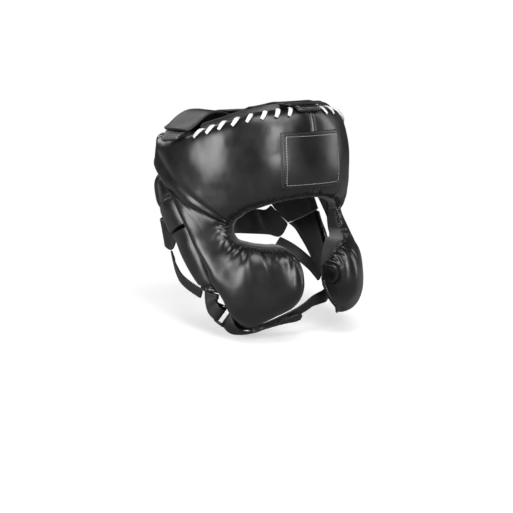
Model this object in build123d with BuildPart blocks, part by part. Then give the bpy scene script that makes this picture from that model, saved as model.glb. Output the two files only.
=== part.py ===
"""Boxing headgear with cheek pads, as sewn: padded shell, ear guards, crown straps, closures.

Millimetres.  The origin is on the axis of the head at brow level.  The face looks along -Y, +Z is up and
the wearer's right is -X.  A place on the gear is given as on its paper pattern: an angle round the head
in degrees, 0 at the middle of the forehead and growing towards the wearer's right ear, and a height.
"""

import math
import os

from build123d import *

os.makedirs("parts", exist_ok=True)

# ---------------------------------------------------------------- driving sizes
# the space that the head fills, as ellipses round the axis
head_half_breadth = 81.0
head_front_reach = 93.0
head_back_reach = 93.0
widest_height = 25.0
crown_half_height = 129.0
jaw_half_height = 233.0
nape_half_height = 158.0
jaw_forward = 15.0
jaw_height = -75.0
jaw_spread = 45.0

# materials by the sheet
leather = 1.8
lining = 1.6
strap = 2.0
hook_tape = 0.8
gap = 0.3
seam_turning = 2.0

# padded shell: brow, rim, ear edge and cheek pad
band_padding = 23.0
cheek_padding = 36.0
brow_height = -4.0
brow_drop = 36.0
rim_front_height = 87.5
rim_rear_height = 52.5
rim_flat_angle = 10.0
rim_fall_angle = 105.0
forehead_angles = (0.0, 6.5, 13.0, 19.5, 28.0, 37.0)
eye_corner_angle = 39.5
eye_corner_height = -35.5
eye_corner_width = 7.6
eye_corner_half_gap = 13.0
shell_rear_angle = 124.0
ear_edge_points = ((118.0, 14.0), (93.0, -7.0), (73.0, -43.0), (60.0, -81.0), (42.0, -136.0))
cheek_front_angle = 9.8
ear_edge_stand_off = 7.0
jaw_edge_stand_off = 24.0
shoulder_roundness = 6.0
seam_roundness = 2.5

# lace rim
rim_band_height = 5.0
rim_depth = 60.0
lace_width = 3.6
lace_thickness = 1.0
lace_clearance = 0.95
lace_pitch_angle = 8.0
lace_lean = 32.0
rear_corner_angle = 17.0
lace_turns = (62.0, 48.0, 34.0, 23.0)

# forehead patch
patch_low = 8.0
patch_high = 66.0
patch_border_angle = 3.0
patch_border = 5.0
patch_sheet = 1.4

# back of the band, nape pad, ear guards and rear closure
band_rear_low = 16.0
nape_padding = 26.0
nape_low = -40.0
nape_high = 15.7
nape_front_angle = 130.4
ear_padding = 14.0
ear_lift = 4.0
ear_clearance = 1.4
wing_low = -72.0
wing_high = -43.0
wing_lift = 23.0
wing_front_angle = 144.0
wing_overlap_angle = 20.0
rear_flap_root_angle = 26.0
ear_strap_width = 13.0

# crown straps
crown_strap_width = 48.0
crown_tab_width = 30.0
side_strap_slope = 10.0
side_strap_clearance = 1.8
long_strap_rise = 81.5
side_strap_drop = 5.8
front_root_reach = 34.0
side_root_reach = 50.0
front_flap_reach = 99.0
side_flap_reach = 94.0

# chin strap: from the ring under the right cheek pad and the chin, and up inside the left pad
chin_width = 18.0
chin_stations = (
    ((-63.0, -62.0, -139.0), (-0.6, -0.35, -0.72)),
    ((-54.5, -64.5, -143.0), (-0.25, -0.3, -0.92)),
    ((-46.0, -67.5, -143.5), (0.0, -0.3, -0.95)),
    ((-36.0, -71.5, -140.5), (0.05, -0.35, -0.93)),
    ((-24.0, -77.0, -136.5), (0.05, -0.45, -0.9)),
    ((-10.0, -82.5, -132.0), (0.03, -0.6, -0.8)),
    ((1.0, -85.0, -128.5), (0.0, -0.7, -0.7)),
    ((12.0, -86.0, -124.0), (0.05, -0.8, -0.6)),
    ((22.0, -85.5, -119.5), (0.1, -0.87, -0.5)),
    ((36.0, -81.0, -118.0), (0.35, -0.85, -0.35)),
    ((50.0, -73.0, -118.5), (0.6, -0.75, -0.25)),
    ((62.0, -62.0, -119.5), (0.75, -0.6, -0.2)),
    ((70.5, -52.0, -118.5), (0.88, -0.42, -0.15)),
    ((74.5, -44.5, -116.8), (0.93, -0.33, -0.05)),
)
left_tab_length = 22.0
right_tab_seam_gap = 3.4
left_tab_seam_gap = 10.3
tab_straight = 4.5
ring_centre = Vector(-73.0, -55.5, -129.0)
ring_run = Vector(-0.57, 0.58, 0.59).normalized()
ring_outside = Vector(-0.75, -0.5, -0.3)
ring_bar_spacing = 13.0
ring_wire = 3.2
ring_play = 0.8
eye_overlap = 0.2


# ---------------------------------------------------------------- the head and the pattern on it
def head_radius(angle, height):
    """Distance from the axis to the inside of the lining."""
    turn = math.radians(angle)
    above = height > widest_height
    climb = height - widest_height
    swell = math.sqrt(1 - (climb / (crown_half_height if above else jaw_half_height)) ** 2)
    if math.cos(turn) > 0:
        jaw = jaw_forward * math.exp(-(((height - jaw_height) / jaw_spread) ** 2))
        reach = head_front_reach * (swell if above else 1) + jaw
    else:
        fall = crown_half_height if above else nape_half_height
        reach = head_back_reach * math.sqrt(1 - (climb / fall) ** 2)
    return 1 / math.hypot(math.sin(turn) / (head_half_breadth * swell), math.cos(turn) / reach)


def on_head(angle, height, lift=0.0):
    """Point at an angle and a height on the pattern, lifted straight out from the head."""
    turn = math.radians(angle)
    radius = head_radius(angle, height) + lift
    return Vector(-radius * math.sin(turn), -radius * math.cos(turn), height)


def outward(angle):
    """Direction straight out from the axis at an angle round the head."""
    turn = math.radians(angle)
    return Vector(-math.sin(turn), -math.cos(turn), 0)


def brow(angle):
    """Height of the lower edge of the forehead."""
    return brow_height - brow_drop * math.sin(math.radians(angle)) ** 2


def rim(angle):
    """Height of the top of the padding, which falls from the forehead to the back of the head."""
    fall = min(max((abs(angle) - rim_flat_angle) / rim_fall_angle, 0), 1)
    return rim_rear_height + (rim_front_height - rim_rear_height) * (1 + math.cos(math.pi * fall)) / 2


def eye_corner(turn):
    """Point on the round end of the eye opening, 0 at its top and 180 at its bottom."""
    side = math.sin(math.radians(turn))
    up = math.cos(math.radians(turn))
    return eye_corner_angle + eye_corner_width * side, eye_corner_height + eye_corner_half_gap * up


with BuildLine() as ear_edge:
    Spline(*ear_edge_points)


def on_ear_edge(share):
    """Point on the rear edge of the shell, 0 at its top and 1 under the cheek pad."""
    point = ear_edge.line @ share
    return point.X, point.Y


def rise(share):
    """Smooth step from 0 to 1."""
    share = min(max(share, 0.0), 1.0)
    return share * share * (3 - 2 * share)


def ear_edge_lift(share):
    """How far the rear edge stands off the head, more towards the jaw."""
    return ear_edge_stand_off + (jaw_edge_stand_off - ear_edge_stand_off) * rise(share / 0.9)


# ---------------------------------------------------------------- one cut across a padded panel
class Cut:
    """A cut across a panel from its seam at the face to its outer seam, in a plane of its own."""

    def __init__(self, inner, outer, padding, outer_roundness=seam_roundness, lifts=(0.0, 0.0)):
        start = on_head(*inner, lifts[0])
        end = on_head(*outer, lifts[1])
        middle_angle = (inner[0] + outer[0]) / 2
        middle = on_head(middle_angle, (inner[1] + outer[1]) / 2, sum(lifts) / 2)
        along = (end - start).normalized()
        out = outward(middle_angle)
        out = (out - along * out.dot(along)).normalized()
        centre = (start + end) * 0.5
        self.plane = Plane(origin=centre, x_dir=along, z_dir=along.cross(out))
        self.half = (end - start).length / 2
        self.bow = (middle - centre).dot(out)
        self.padding = padding
        self.roundness = (seam_roundness, outer_roundness)
        self.inner, self.outer, self.lifts = inner, outer, lifts

    def base(self, x, lift=0.0):
        return x, self.bow * (1 - (x / self.half) ** 2) + lift

    def crown(self, inset, floor=0.0, draw_in=0.0, steps=8):
        """Points over the crown of the padding, set in from the outside of the leather.

        The ends may be drawn in further, as foam is behind a turned seam.
        """
        points = []
        for step in range(steps + 1):
            turn = math.pi * (1 - step / steps)
            roundness = self.roundness[math.cos(turn) > 0]
            side = math.copysign(abs(math.cos(turn)) ** (2 / roundness), math.cos(turn))
            swell = abs(math.sin(turn)) ** (2 / roundness) if 0 < step < steps else 0
            x = side * (self.half - inset - draw_in)
            points.append(self.base(x, floor + swell * (self.padding - inset - floor)))
        return points

    def floor(self, inset, lift, steps=4):
        """Points along the head, from one seam to the other."""
        reach = self.half - inset
        return [self.base(reach * (2 * step / steps - 1), lift) for step in range(steps + 1)]

    def crown_at(self, x):
        """Height of the outside of the leather over a point of the cut, found along its crown."""
        points = self.crown(0, steps=96)
        for left, right in zip(points, points[1:]):
            if left[0] <= x <= right[0]:
                share = (x - left[0]) / (right[0] - left[0])
                return left[1] + share * (right[1] - left[1])
        return 0.0

    def at_height(self, height):
        """Distance along the cut at which it passes a height."""
        return (height - self.plane.origin.Z) / self.plane.x_dir.Z


def leather_face(cut):
    outside = cut.crown(0)
    inside = cut.crown(leather)
    with BuildSketch(cut.plane) as face:
        with BuildLine():
            Spline(*outside)
            Line(outside[-1], inside[-1])
            Spline(*reversed(inside))
            Line(inside[0], outside[0])
        make_face()
    return face.sketch


def foam_face(cut):
    top = cut.crown(leather + gap, lining + gap, seam_turning)
    bottom = cut.floor(leather + gap + seam_turning, lining + gap)
    with BuildSketch(cut.plane) as face:
        with BuildLine():
            Spline(*top)
            Spline(*reversed(bottom))
        make_face()
    return face.sketch


def lining_face(cut):
    near_head = cut.floor(leather + gap, 0)
    near_foam = cut.floor(leather + gap, lining)
    with BuildSketch(cut.plane) as face:
        with BuildLine():
            Spline(*near_head)
            Line(near_head[-1], near_foam[-1])
            Spline(*reversed(near_foam))
            Line(near_foam[0], near_head[0])
        make_face()
    return face.sketch


def sheet_face(cut, low, high, lift, thickness, steps=6):
    """Cut through a sheet that lies over the crown of the leather between two heights."""
    ends = cut.at_height(low), cut.at_height(high)
    places = [ends[0] + (ends[1] - ends[0]) * step / steps for step in range(steps + 1)]
    under = [(x, cut.crown_at(x) + lift) for x in places]
    over = [(x, y + thickness) for x, y in under]
    with BuildSketch(cut.plane) as face:
        with BuildLine():
            Spline(*under)
            Line(under[-1], over[-1])
            Spline(*reversed(over))
            Line(over[0], under[0])
        make_face()
    return face.sketch


def strip_face(cut, lift, thickness):
    """Cut through a strap that lies along the head, over the whole of the cut."""
    under = cut.floor(0, lift)
    over = cut.floor(0, lift + thickness)
    with BuildSketch(cut.plane) as face:
        with BuildLine():
            Spline(*under)
            Line(under[-1], over[-1])
            Spline(*reversed(over))
            Line(over[0], under[0])
        make_face()
    return face.sketch


def padded_cover(cuts):
    return loft(sections=[leather_face(cut) for cut in cuts], ruled=True)


def padded_core(cuts):
    return loft(sections=[foam_face(cut) for cut in cuts], ruled=True)


def padded_lining(cuts):
    return loft(sections=[lining_face(cut) for cut in cuts], ruled=True)


# ---------------------------------------------------------------- shell: leather, foam and lining
# cuts fan out round the eye: down the forehead, back over the temple, then along the cheek pad
def forehead_cut(angle):
    return Cut((angle, brow(angle)), (angle, rim(angle)), band_padding, shoulder_roundness)


forehead_cuts = [forehead_cut(angle) for angle in forehead_angles]
temple_cuts = [
    Cut(eye_corner(20), (52.0, rim(52.0)), band_padding, shoulder_roundness),
    Cut(eye_corner(34), (64.0, rim(64.0)), band_padding, shoulder_roundness),
    Cut(eye_corner(48), (78.0, rim(78.0)), band_padding, shoulder_roundness),
    Cut(eye_corner(60), (93.0, rim(93.0)), band_padding, shoulder_roundness),
    Cut(eye_corner(70), (108.0, rim(108.0)), band_padding, shoulder_roundness),
    Cut(eye_corner(79), (shell_rear_angle, rim(shell_rear_angle)), band_padding - 2, 4.0),
    Cut(eye_corner(86), (shell_rear_angle - 3, 34.0), band_padding - 2),
]


def edge_cut(start, share, padding):
    """Cut from the face to the rear edge, padded so thick at its middle above the head."""
    lift = ear_edge_lift(share)
    return Cut(start, on_ear_edge(share), padding - lift / 2, lifts=(0.0, lift))


def cheek_cut(angle, top, low_angle, low, padding, lift=jaw_edge_stand_off):
    """Cut down the cheek pad, whose lower edge stands off the jaw."""
    return Cut((angle, top), (low_angle, low), padding - lift / 2, lifts=(0.0, lift))


edge_cuts = [
    edge_cut(eye_corner(92), 0.0, band_padding - 3),
    edge_cut(eye_corner(99), 0.10, band_padding - 3),
    edge_cut(eye_corner(107), 0.20, band_padding - 4),
    edge_cut(eye_corner(116), 0.30, band_padding - 3),
    edge_cut(eye_corner(127), 0.41, band_padding - 1),
    edge_cut(eye_corner(140), 0.53, band_padding + 3),
    edge_cut(eye_corner(158), 0.67, band_padding + 7),
    edge_cut((37.5, -49.0), 0.82, cheek_padding - 2),
    edge_cut((34.0, -50.0), 0.95, cheek_padding),
]
cheek_cuts = [
    cheek_cut(30.0, -50.5, 37.0, -137.0, cheek_padding),
    cheek_cut(25.5, -51.0, 29.0, -131.5, cheek_padding, jaw_edge_stand_off - 2),
    cheek_cut(21.0, -51.0, 21.5, -124.0, cheek_padding, jaw_edge_stand_off - 5),
    cheek_cut(17.0, -53.0, 16.0, -117.0, cheek_padding - 1, jaw_edge_stand_off - 8),
    cheek_cut(13.8, -57.5, 12.8, -110.5, cheek_padding - 5, jaw_edge_stand_off - 11),
    cheek_cut(11.5, -64.0, 11.0, -104.0, cheek_padding - 11, jaw_edge_stand_off - 14),
    cheek_cut(cheek_front_angle, -71.0, cheek_front_angle, -97.5, cheek_padding - 20, 6.0),
]
shell_cuts = forehead_cuts + temple_cuts + edge_cuts + cheek_cuts

with BuildPart() as outer_leather_right:
    padded_cover(shell_cuts)

with BuildPart() as outer_leather_left:
    mirror(outer_leather_right.part, about=Plane.YZ)

# the foam comes in two blocks a side: one over the brow and temple, one in the cheek
foam_split = len(forehead_cuts) + len(temple_cuts) + 3

with BuildPart() as brow_foam_right:
    padded_core(shell_cuts[:foam_split])

with BuildPart() as brow_foam_left:
    mirror(brow_foam_right.part, about=Plane.YZ)

with BuildPart() as cheek_foam_right:
    padded_core(shell_cuts[foam_split - 1:])

with BuildPart() as cheek_foam_left:
    mirror(cheek_foam_right.part, about=Plane.YZ)

with BuildPart() as lining_right:
    padded_lining(shell_cuts)

with BuildPart() as lining_left:
    mirror(lining_right.part, about=Plane.YZ)

# ---------------------------------------------------------------- forehead patch
patch_angles = [-angle for angle in reversed(forehead_angles[1:4])] + list(forehead_angles[:4])
inner_patch_angles = (
    [patch_angles[0] + patch_border_angle] + patch_angles[1:-1] + [patch_angles[-1] - patch_border_angle]
)

with BuildPart() as patch_backing:
    backing_cuts = [forehead_cut(angle) for angle in patch_angles]
    loft(
        sections=[sheet_face(cut, patch_low, patch_high, gap, patch_sheet) for cut in backing_cuts],
        ruled=True,
    )

with BuildPart() as front_patch:
    inner_cuts = [forehead_cut(angle) for angle in inner_patch_angles]
    inner_low = patch_low + patch_border
    inner_high = patch_high - patch_border
    inner_lift = gap + patch_sheet + gap
    loft(
        sections=[sheet_face(cut, inner_low, inner_high, inner_lift, patch_sheet) for cut in inner_cuts],
        ruled=True,
    )


# ---------------------------------------------------------------- lace rim
def rear_band_cut(share):
    angle = 180.0 - share * (180.0 - shell_rear_angle - ear_clearance)
    padding = band_padding - 1.0 - 12.0 * abs(share) ** 8
    return Cut((angle, band_rear_low), (angle, rim_rear_height), padding, shoulder_roundness)


def rim_cut(angle):
    """Upright cut through the top of the padding, anywhere round the head."""
    if angle > shell_rear_angle:
        return rear_band_cut((180.0 - angle) / (180.0 - shell_rear_angle - ear_clearance))
    return Cut((angle, rim(angle) - rim_depth), (angle, rim(angle)), band_padding, shoulder_roundness)


def over_rim(angle, turns, lift):
    """Distances from the axis and heights over the shoulder of the padding, lifted off the leather.

    Turns run from 90 on the side of the padding to 0 at its inner top corner.
    """
    cut = rim_cut(angle)
    places = []
    for turn in turns:
        side = math.cos(math.radians(turn)) ** (2 / shoulder_roundness)
        up = math.sin(math.radians(turn)) ** (2 / shoulder_roundness)
        x, y = cut.base(side * cut.half, up * cut.padding)
        steep = (side ** (shoulder_roundness - 1) / cut.half, up ** (shoulder_roundness - 1) / cut.padding)
        size = math.hypot(*steep)
        point = cut.plane.from_local_coords(Vector(x + lift * steep[0] / size, y + lift * steep[1] / size))
        places.append((math.hypot(point.X, point.Y), point.Z))
    return places


side_tab_angle = 88.0
strap_half_angle = math.degrees(math.atan(crown_strap_width / 2 / head_front_reach)) + 1.5
rim_band_spans = (
    (strap_half_angle, side_tab_angle - strap_half_angle - 2),
    (side_tab_angle + strap_half_angle + 2, 180.0 - strap_half_angle),
)


def rim_band_face(angle):
    """Upright strip of leather that stands on the top of the padding."""
    seat, top = over_rim(angle, (18.0,), gap)[0], over_rim(angle, (9.0,), gap)[0][1]
    plane = Plane(
        origin=outward(angle) * seat[0] + Vector(0, 0, top),
        x_dir=outward(angle),
        z_dir=outward(angle).cross(Vector(0, 0, 1)),
    )
    with BuildSketch(plane) as face:
        Rectangle(leather, rim_band_height, align=(Align.MAX, Align.MIN))
    return face.sketch


with BuildPart() as rim_band_right:
    for span_start, span_end in rim_band_spans:
        stations = 9
        angles = [span_start + (span_end - span_start) * k / (stations - 1) for k in range(stations)]
        loft(sections=[rim_band_face(angle) for angle in angles], ruled=True)

with BuildPart() as rim_band_left:
    mirror(rim_band_right.part, about=Plane.YZ)


def takes_a_stitch(angle):
    """True where no crown strap or tab comes over the rim, nor the corner behind the ear."""
    tab = math.degrees(math.atan(crown_tab_width / 2 / head_front_reach)) + 2.5
    if angle < tab or abs(angle - side_tab_angle) < strap_half_angle + 2:
        return False
    return abs(angle - shell_rear_angle) > rear_corner_angle and angle < 180.0 - strap_half_angle - 2


# one whip stitch every few degrees, leaning up towards the middle of the forehead on both sides
stitches_a_side = int(180.0 / lace_pitch_angle)
lace_angles = [lace_pitch_angle * (turn + 0.5) for turn in range(stitches_a_side)]

with BuildPart() as rim_lace:
    for side in (1, -1):
        for angle in filter(takes_a_stitch, lace_angles):
            stitch = over_rim(angle, lace_turns, lace_clearance + lace_thickness / 2)
            out = outward(side * angle)
            lean = math.radians(lace_lean) * side
            up = Vector(0, 0, math.cos(lean)) - out.cross(Vector(0, 0, 1)) * math.sin(lean)
            origin = out * stitch[1][0] + Vector(0, 0, stitch[1][1])
            run = [(r - stitch[1][0], (z - stitch[1][1]) / math.cos(lean)) for r, z in stitch]
            with BuildSketch(Plane(origin=origin, x_dir=out, z_dir=out.cross(up))):
                with BuildLine():
                    Polyline(*run)
                trace(line_width=lace_thickness)
    extrude(amount=lace_width / 2, both=True)

# ---------------------------------------------------------------- back of the band and nape pad
# shares of the way from the middle of the back to a pad's end, closer together where the end rounds in
back_shares = (1.0, 0.92, 0.8, 0.6, 0.4, 0.2, 0.0, -0.2, -0.4, -0.6, -0.8, -0.92, -1.0)


def nape_cut(share):
    angle = 180.0 - share * (180.0 - nape_front_angle)
    low = nape_low + 12.0 * abs(share) ** 6
    return Cut((angle, low), (angle, nape_high), nape_padding - 10.0 * abs(share) ** 8)


rear_band_cuts = [rear_band_cut(share) for share in back_shares]
nape_cuts = [nape_cut(share) for share in back_shares]

with BuildPart() as rear_band_leather:
    padded_cover(rear_band_cuts)

with BuildPart() as rear_band_foam:
    padded_core(rear_band_cuts)

with BuildPart() as rear_band_lining:
    padded_lining(rear_band_cuts)

with BuildPart() as nape_leather:
    padded_cover(nape_cuts)

with BuildPart() as nape_foam:
    padded_core(nape_cuts)

with BuildPart() as nape_lining:
    padded_lining(nape_cuts)


# ---------------------------------------------------------------- ear guards
def behind_ear_edge(share):
    """Front seam of the ear guard, a little behind the rear edge of the shell."""
    angle, height = on_ear_edge(share)
    return angle + ear_clearance, height


ear_cuts = [
    Cut(behind_ear_edge(0.03), (128.0, 9.0), ear_padding - 5, lifts=(ear_lift, ear_lift)),
    Cut(behind_ear_edge(0.09), (130.0, -3.0), ear_padding, lifts=(ear_lift, ear_lift)),
    Cut(behind_ear_edge(0.19), (130.0, -24.0), ear_padding, lifts=(ear_lift, ear_lift)),
    Cut(behind_ear_edge(0.25), (127.0, -34.0), ear_padding + 1, lifts=(ear_lift, ear_lift)),
    Cut(behind_ear_edge(0.32), (120.0, -45.0), ear_padding, lifts=(ear_lift, ear_lift)),
    Cut(behind_ear_edge(0.39), (111.0, -54.0), ear_padding - 2, lifts=(ear_lift, ear_lift)),
]
tube_cuts = [
    Cut(behind_ear_edge(0.395), (110.7, -54.5), ear_padding - 2, lifts=(ear_lift, ear_lift)),
    Cut(behind_ear_edge(0.43), (105.0, -58.5), ear_padding - 2, lifts=(ear_lift, ear_lift)),
    Cut(behind_ear_edge(0.50), (97.0, -69.0), ear_padding - 1, lifts=(ear_lift + 1, ear_lift + 1)),
    Cut(behind_ear_edge(0.59), (89.0, -80.5), ear_padding - 2, lifts=(ear_lift + 3, ear_lift + 3)),
    Cut(behind_ear_edge(0.68), (82.0, -91.0), ear_padding - 3, lifts=(ear_lift + 5, ear_lift + 5)),
    Cut(behind_ear_edge(0.76), (76.0, -99.5), ear_padding - 4, lifts=(ear_lift + 7, ear_lift + 7)),
    Cut(behind_ear_edge(0.82), (71.5, -105.5), ear_padding - 6, lifts=(ear_lift + 9, ear_lift + 9)),
]

with BuildPart() as ear_guard_right:
    padded_cover(ear_cuts)

with BuildPart() as ear_guard_left:
    mirror(ear_guard_right.part, about=Plane.YZ)

with BuildPart() as ear_foam_right:
    padded_core(ear_cuts)

with BuildPart() as ear_foam_left:
    mirror(ear_foam_right.part, about=Plane.YZ)

with BuildPart() as ear_lining_right:
    padded_lining(ear_cuts)

with BuildPart() as ear_lining_left:
    mirror(ear_lining_right.part, about=Plane.YZ)

with BuildPart() as jaw_tube_right:
    padded_cover(tube_cuts)

with BuildPart() as jaw_tube_left:
    mirror(jaw_tube_right.part, about=Plane.YZ)

with BuildPart() as jaw_tube_foam_right:
    padded_core(tube_cuts)

with BuildPart() as jaw_tube_foam_left:
    mirror(jaw_tube_foam_right.part, about=Plane.YZ)


# ---------------------------------------------------------------- straps that lie along the head
def band_cut(angle, height, width, lift, lean=0.0):
    """Cut straight across a strap centred at a place, its top leaning towards the back."""
    turn = math.degrees(math.sin(math.radians(lean)) * width / 2 / (head_radius(angle, height) + lift))
    reach = math.cos(math.radians(lean)) * width / 2
    return Cut((angle - turn, height - reach), (angle + turn, height + reach), 0.0, lifts=(lift, lift))


def strap_solid(cuts, lift=0.0, thickness=strap):
    return loft(sections=[strip_face(cut, lift, thickness) for cut in cuts], ruled=True)


# flat strap behind the jaw tube, from the rear closure down to the chin tab
ear_strap_route = (
    (122.2, -78.1, 12.5),
    (111.0, -84.5, 13.5),
    (103.0, -90.5, 15.0),
    (95.0, -96.5, 16.5),
    (87.0, -102.5, 17.5),
    (80.0, -107.5, 17.5),
    (74.5, -111.5, 17.5),
)
ear_strap_cuts = [
    band_cut(angle, height, ear_strap_width, lift, lean=-28.0) for angle, height, lift in ear_strap_route
]

with BuildPart() as ear_strap_right:
    strap_solid(ear_strap_cuts)

with BuildPart() as ear_strap_left:
    mirror(ear_strap_right.part, about=Plane.YZ)

# ---------------------------------------------------------------- rear closure
# the right wing runs past the middle of the back, and the left wing's free end lies over it
stack = hook_tape + gap + hook_tape
over_wing = wing_lift + strap + gap + stack + gap


def wing_cuts(start, end, lift, inset=0.0, count=9):
    angles = [start + (end - start) * k / (count - 1) for k in range(count)]
    return [Cut((a, wing_low + inset), (a, wing_high - inset), 0.0, lifts=(lift, lift)) for a in angles]


# a wing starts on the lower rear edge of its ear guard and rises off the head past the nape pad
wing_root_cuts = [
    Cut((111.5, -55.8), (128.0, -35.8), 0.0, lifts=(ear_lift + 0.5, ear_lift + 0.5)),
    Cut((120.0, wing_low), (133.0, -42.0), 0.0, lifts=(wing_lift * 0.5, wing_lift * 0.5)),
    Cut((131.0, wing_low), (138.5, wing_high), 0.0, lifts=(wing_lift * 0.85, wing_lift * 0.85)),
]


def mirrored(cuts_on_right):
    """The same strap on the left of the head, its cuts in their order round the head."""
    return [
        Cut((-cut.inner[0], cut.inner[1]), (-cut.outer[0], cut.outer[1]), 0.0, lifts=cut.lifts)
        for cut in cuts_on_right
    ]


with BuildPart() as rear_wing_right:
    strap_solid(wing_root_cuts + wing_cuts(wing_front_angle, 180.0 + wing_overlap_angle, wing_lift))

flap_root = 180.0 + rear_flap_root_angle

with BuildPart() as rear_wing_left:
    rising = mirrored(wing_root_cuts)
    for angle, lift in ((wing_front_angle, wing_lift), (360.0 - flap_root, over_wing)):
        rising.append(Cut((-angle, wing_low), (-angle, wing_high), 0.0, lifts=(lift, lift)))
    strap_solid(rising)

root_gap_angle = math.degrees(gap / (head_back_reach + over_wing))
rear_flap_end = 180.0 - wing_overlap_angle

with BuildPart() as rear_flap:
    strap_solid(wing_cuts(flap_root - root_gap_angle, rear_flap_end, over_wing))

tape_end_angle = 3.0
tape_start = 180.0 + wing_overlap_angle - tape_end_angle
tape_end = rear_flap_end + tape_end_angle
tape_inset = 4.0

with BuildPart() as rear_loop_tape:
    strap_solid(
        wing_cuts(tape_start, tape_end, wing_lift + strap + gap, tape_inset), thickness=hook_tape
    )

with BuildPart() as rear_hook_tape:
    strap_solid(
        wing_cuts(tape_start, tape_end, over_wing - gap - hook_tape, tape_inset), thickness=hook_tape
    )


# ---------------------------------------------------------------- crown straps
# each crossing strap follows a line in an upright plane, and its layers are lifted off that line
def layer(line, start, end, lift, count=13):
    """Points along a line, lifted to its left by a distance that may change on the way."""
    points = []
    for step in range(count):
        share = start + (end - start) * step / (count - 1)
        heading = line % share
        height = lift(share) if callable(lift) else lift
        point = line @ share
        points.append((point.X - heading.Y * height, point.Y + heading.X * height))
    return points


def share_at(line, place):
    """Share of a line at which it reaches a place along its plane's first axis, by halving."""
    low, high = 0.0, 1.0
    halvings = 40
    forward = (line @ 1).X > (line @ 0).X
    for _ in range(halvings):
        middle = (low + high) / 2
        if ((line @ middle).X < place) == forward:
            low = middle
        else:
            high = middle
    return middle


def ribbon(plane, points, thickness=strap):
    """Outline of a strap seen along its width."""
    with BuildSketch(plane) as outline:
        with BuildLine():
            Spline(*points)
        trace(line_width=thickness)
    return outline.sketch


# turns at which a strap's end lies over the shoulder of the padding
hook_turns = (60.0, 46.0, 32.0, 16.0)
on_leather = gap + strap / 2
front_hook = over_rim(0.0, hook_turns, on_leather)
rear_hook = over_rim(180.0, hook_turns, on_leather)
side_hook = over_rim(side_tab_angle, hook_turns, on_leather + side_strap_clearance)

# the side straps cross under the long strap, in a plane that leans with the falling rim
side_strap_rise = long_strap_rise - side_strap_drop
slope = math.radians(side_strap_slope)
side_plane = Plane(
    origin=(0, 0, rim(side_tab_angle)), x_dir=(1, 0, 0), z_dir=(0, -math.cos(slope), math.sin(slope))
)


def on_side_plane(reach, height):
    return reach, (height - rim(side_tab_angle)) / math.cos(slope)


with BuildLine() as long_run:
    Spline(
        *[(-r, z) for r, z in front_hook],
        (-74.0, rim_front_height + 2.0),
        (-40.0, long_strap_rise + 1.5),
        (0.0, long_strap_rise),
        (42.0, long_strap_rise - 5.0),
        (74.0, long_strap_rise - 18.0),
        *[(r, z) for r, z in reversed(rear_hook)],
    )

with BuildLine() as side_run:
    Spline(
        *[on_side_plane(-r, z) for r, z in side_hook],
        on_side_plane(-62.0, side_strap_rise + 1.5),
        on_side_plane(-36.0, side_strap_rise + 1.0),
        on_side_plane(0.0, side_strap_rise),
        on_side_plane(36.0, side_strap_rise + 1.0),
        on_side_plane(62.0, side_strap_rise + 1.5),
        *[on_side_plane(r, z) for r, z in reversed(side_hook)],
    )

# layers from the tab up: tab, loop tape, hook tape, flap
loop_lift = strap / 2 + gap + hook_tape / 2
hook_lift = loop_lift + hook_tape + gap
flap_lift = hook_lift + hook_tape / 2 + gap + strap / 2
settle_length = 20.0
tab_short_of_root = 3.0
tape_short_of_root = 5.0
tape_length = 34.0
half_width = crown_strap_width / 2
tape_side_inset = 2.0
half_tape = crown_tab_width / 2 - tape_side_inset


class Crossing:
    """Where the pieces of one crossing strap begin and end along its line."""

    def __init__(self, line, root_reach, flap_reach):
        self.line = line
        self.root_reach = root_reach
        self.root = share_at(line, -root_reach)
        self.tab_end = share_at(line, -root_reach - tab_short_of_root)
        self.flap_start = share_at(line, -flap_reach)
        self.flap_end = share_at(line, -root_reach - gap)
        self.tape_start = share_at(line, -root_reach - tape_short_of_root - tape_length)
        self.tape_end = share_at(line, -root_reach - tape_short_of_root)

    def strap_lift(self, share):
        """Lift of the fixed strap, which settles down on the head past the root of its flap."""
        past_root = (self.line @ share).X + self.root_reach
        return flap_lift * (1 - rise(past_root / settle_length))

    def tab(self):
        return layer(self.line, 0.0, self.tab_end, 0.0)

    def fixed(self):
        return layer(self.line, self.root, 1.0, self.strap_lift, 25)

    def flap(self):
        return layer(self.line, self.flap_start, self.flap_end, flap_lift)

    def tape(self, lift):
        return layer(self.line, self.tape_start, self.tape_end, lift)


front = Crossing(long_run.line, front_root_reach, front_flap_reach)
side = Crossing(side_run.line, side_root_reach, side_flap_reach)

with BuildPart() as crown_tab_front:
    extrude(ribbon(Plane.YZ, front.tab()), amount=crown_tab_width / 2, both=True)

with BuildPart() as crown_strap_long:
    extrude(ribbon(Plane.YZ, front.fixed()), amount=half_width, both=True)

with BuildPart() as crown_front_flap:
    extrude(ribbon(Plane.YZ, front.flap()), amount=half_width, both=True)

with BuildPart() as crown_front_loop_tape:
    extrude(ribbon(Plane.YZ, front.tape(loop_lift), hook_tape), amount=half_tape, both=True)

with BuildPart() as crown_front_hook_tape:
    extrude(ribbon(Plane.YZ, front.tape(hook_lift), hook_tape), amount=half_tape, both=True)

with BuildPart() as crown_tab_right:
    extrude(ribbon(side_plane, side.tab()), amount=crown_tab_width / 2, both=True)

with BuildPart() as crown_strap_side:
    extrude(ribbon(side_plane, side.fixed()), amount=half_width, both=True)

with BuildPart() as crown_side_flap:
    extrude(ribbon(side_plane, side.flap()), amount=half_width, both=True)

with BuildPart() as crown_side_loop_tape:
    extrude(ribbon(side_plane, side.tape(loop_lift), hook_tape), amount=half_tape, both=True)

with BuildPart() as crown_side_hook_tape:
    extrude(ribbon(side_plane, side.tape(hook_lift), hook_tape), amount=half_tape, both=True)

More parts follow.
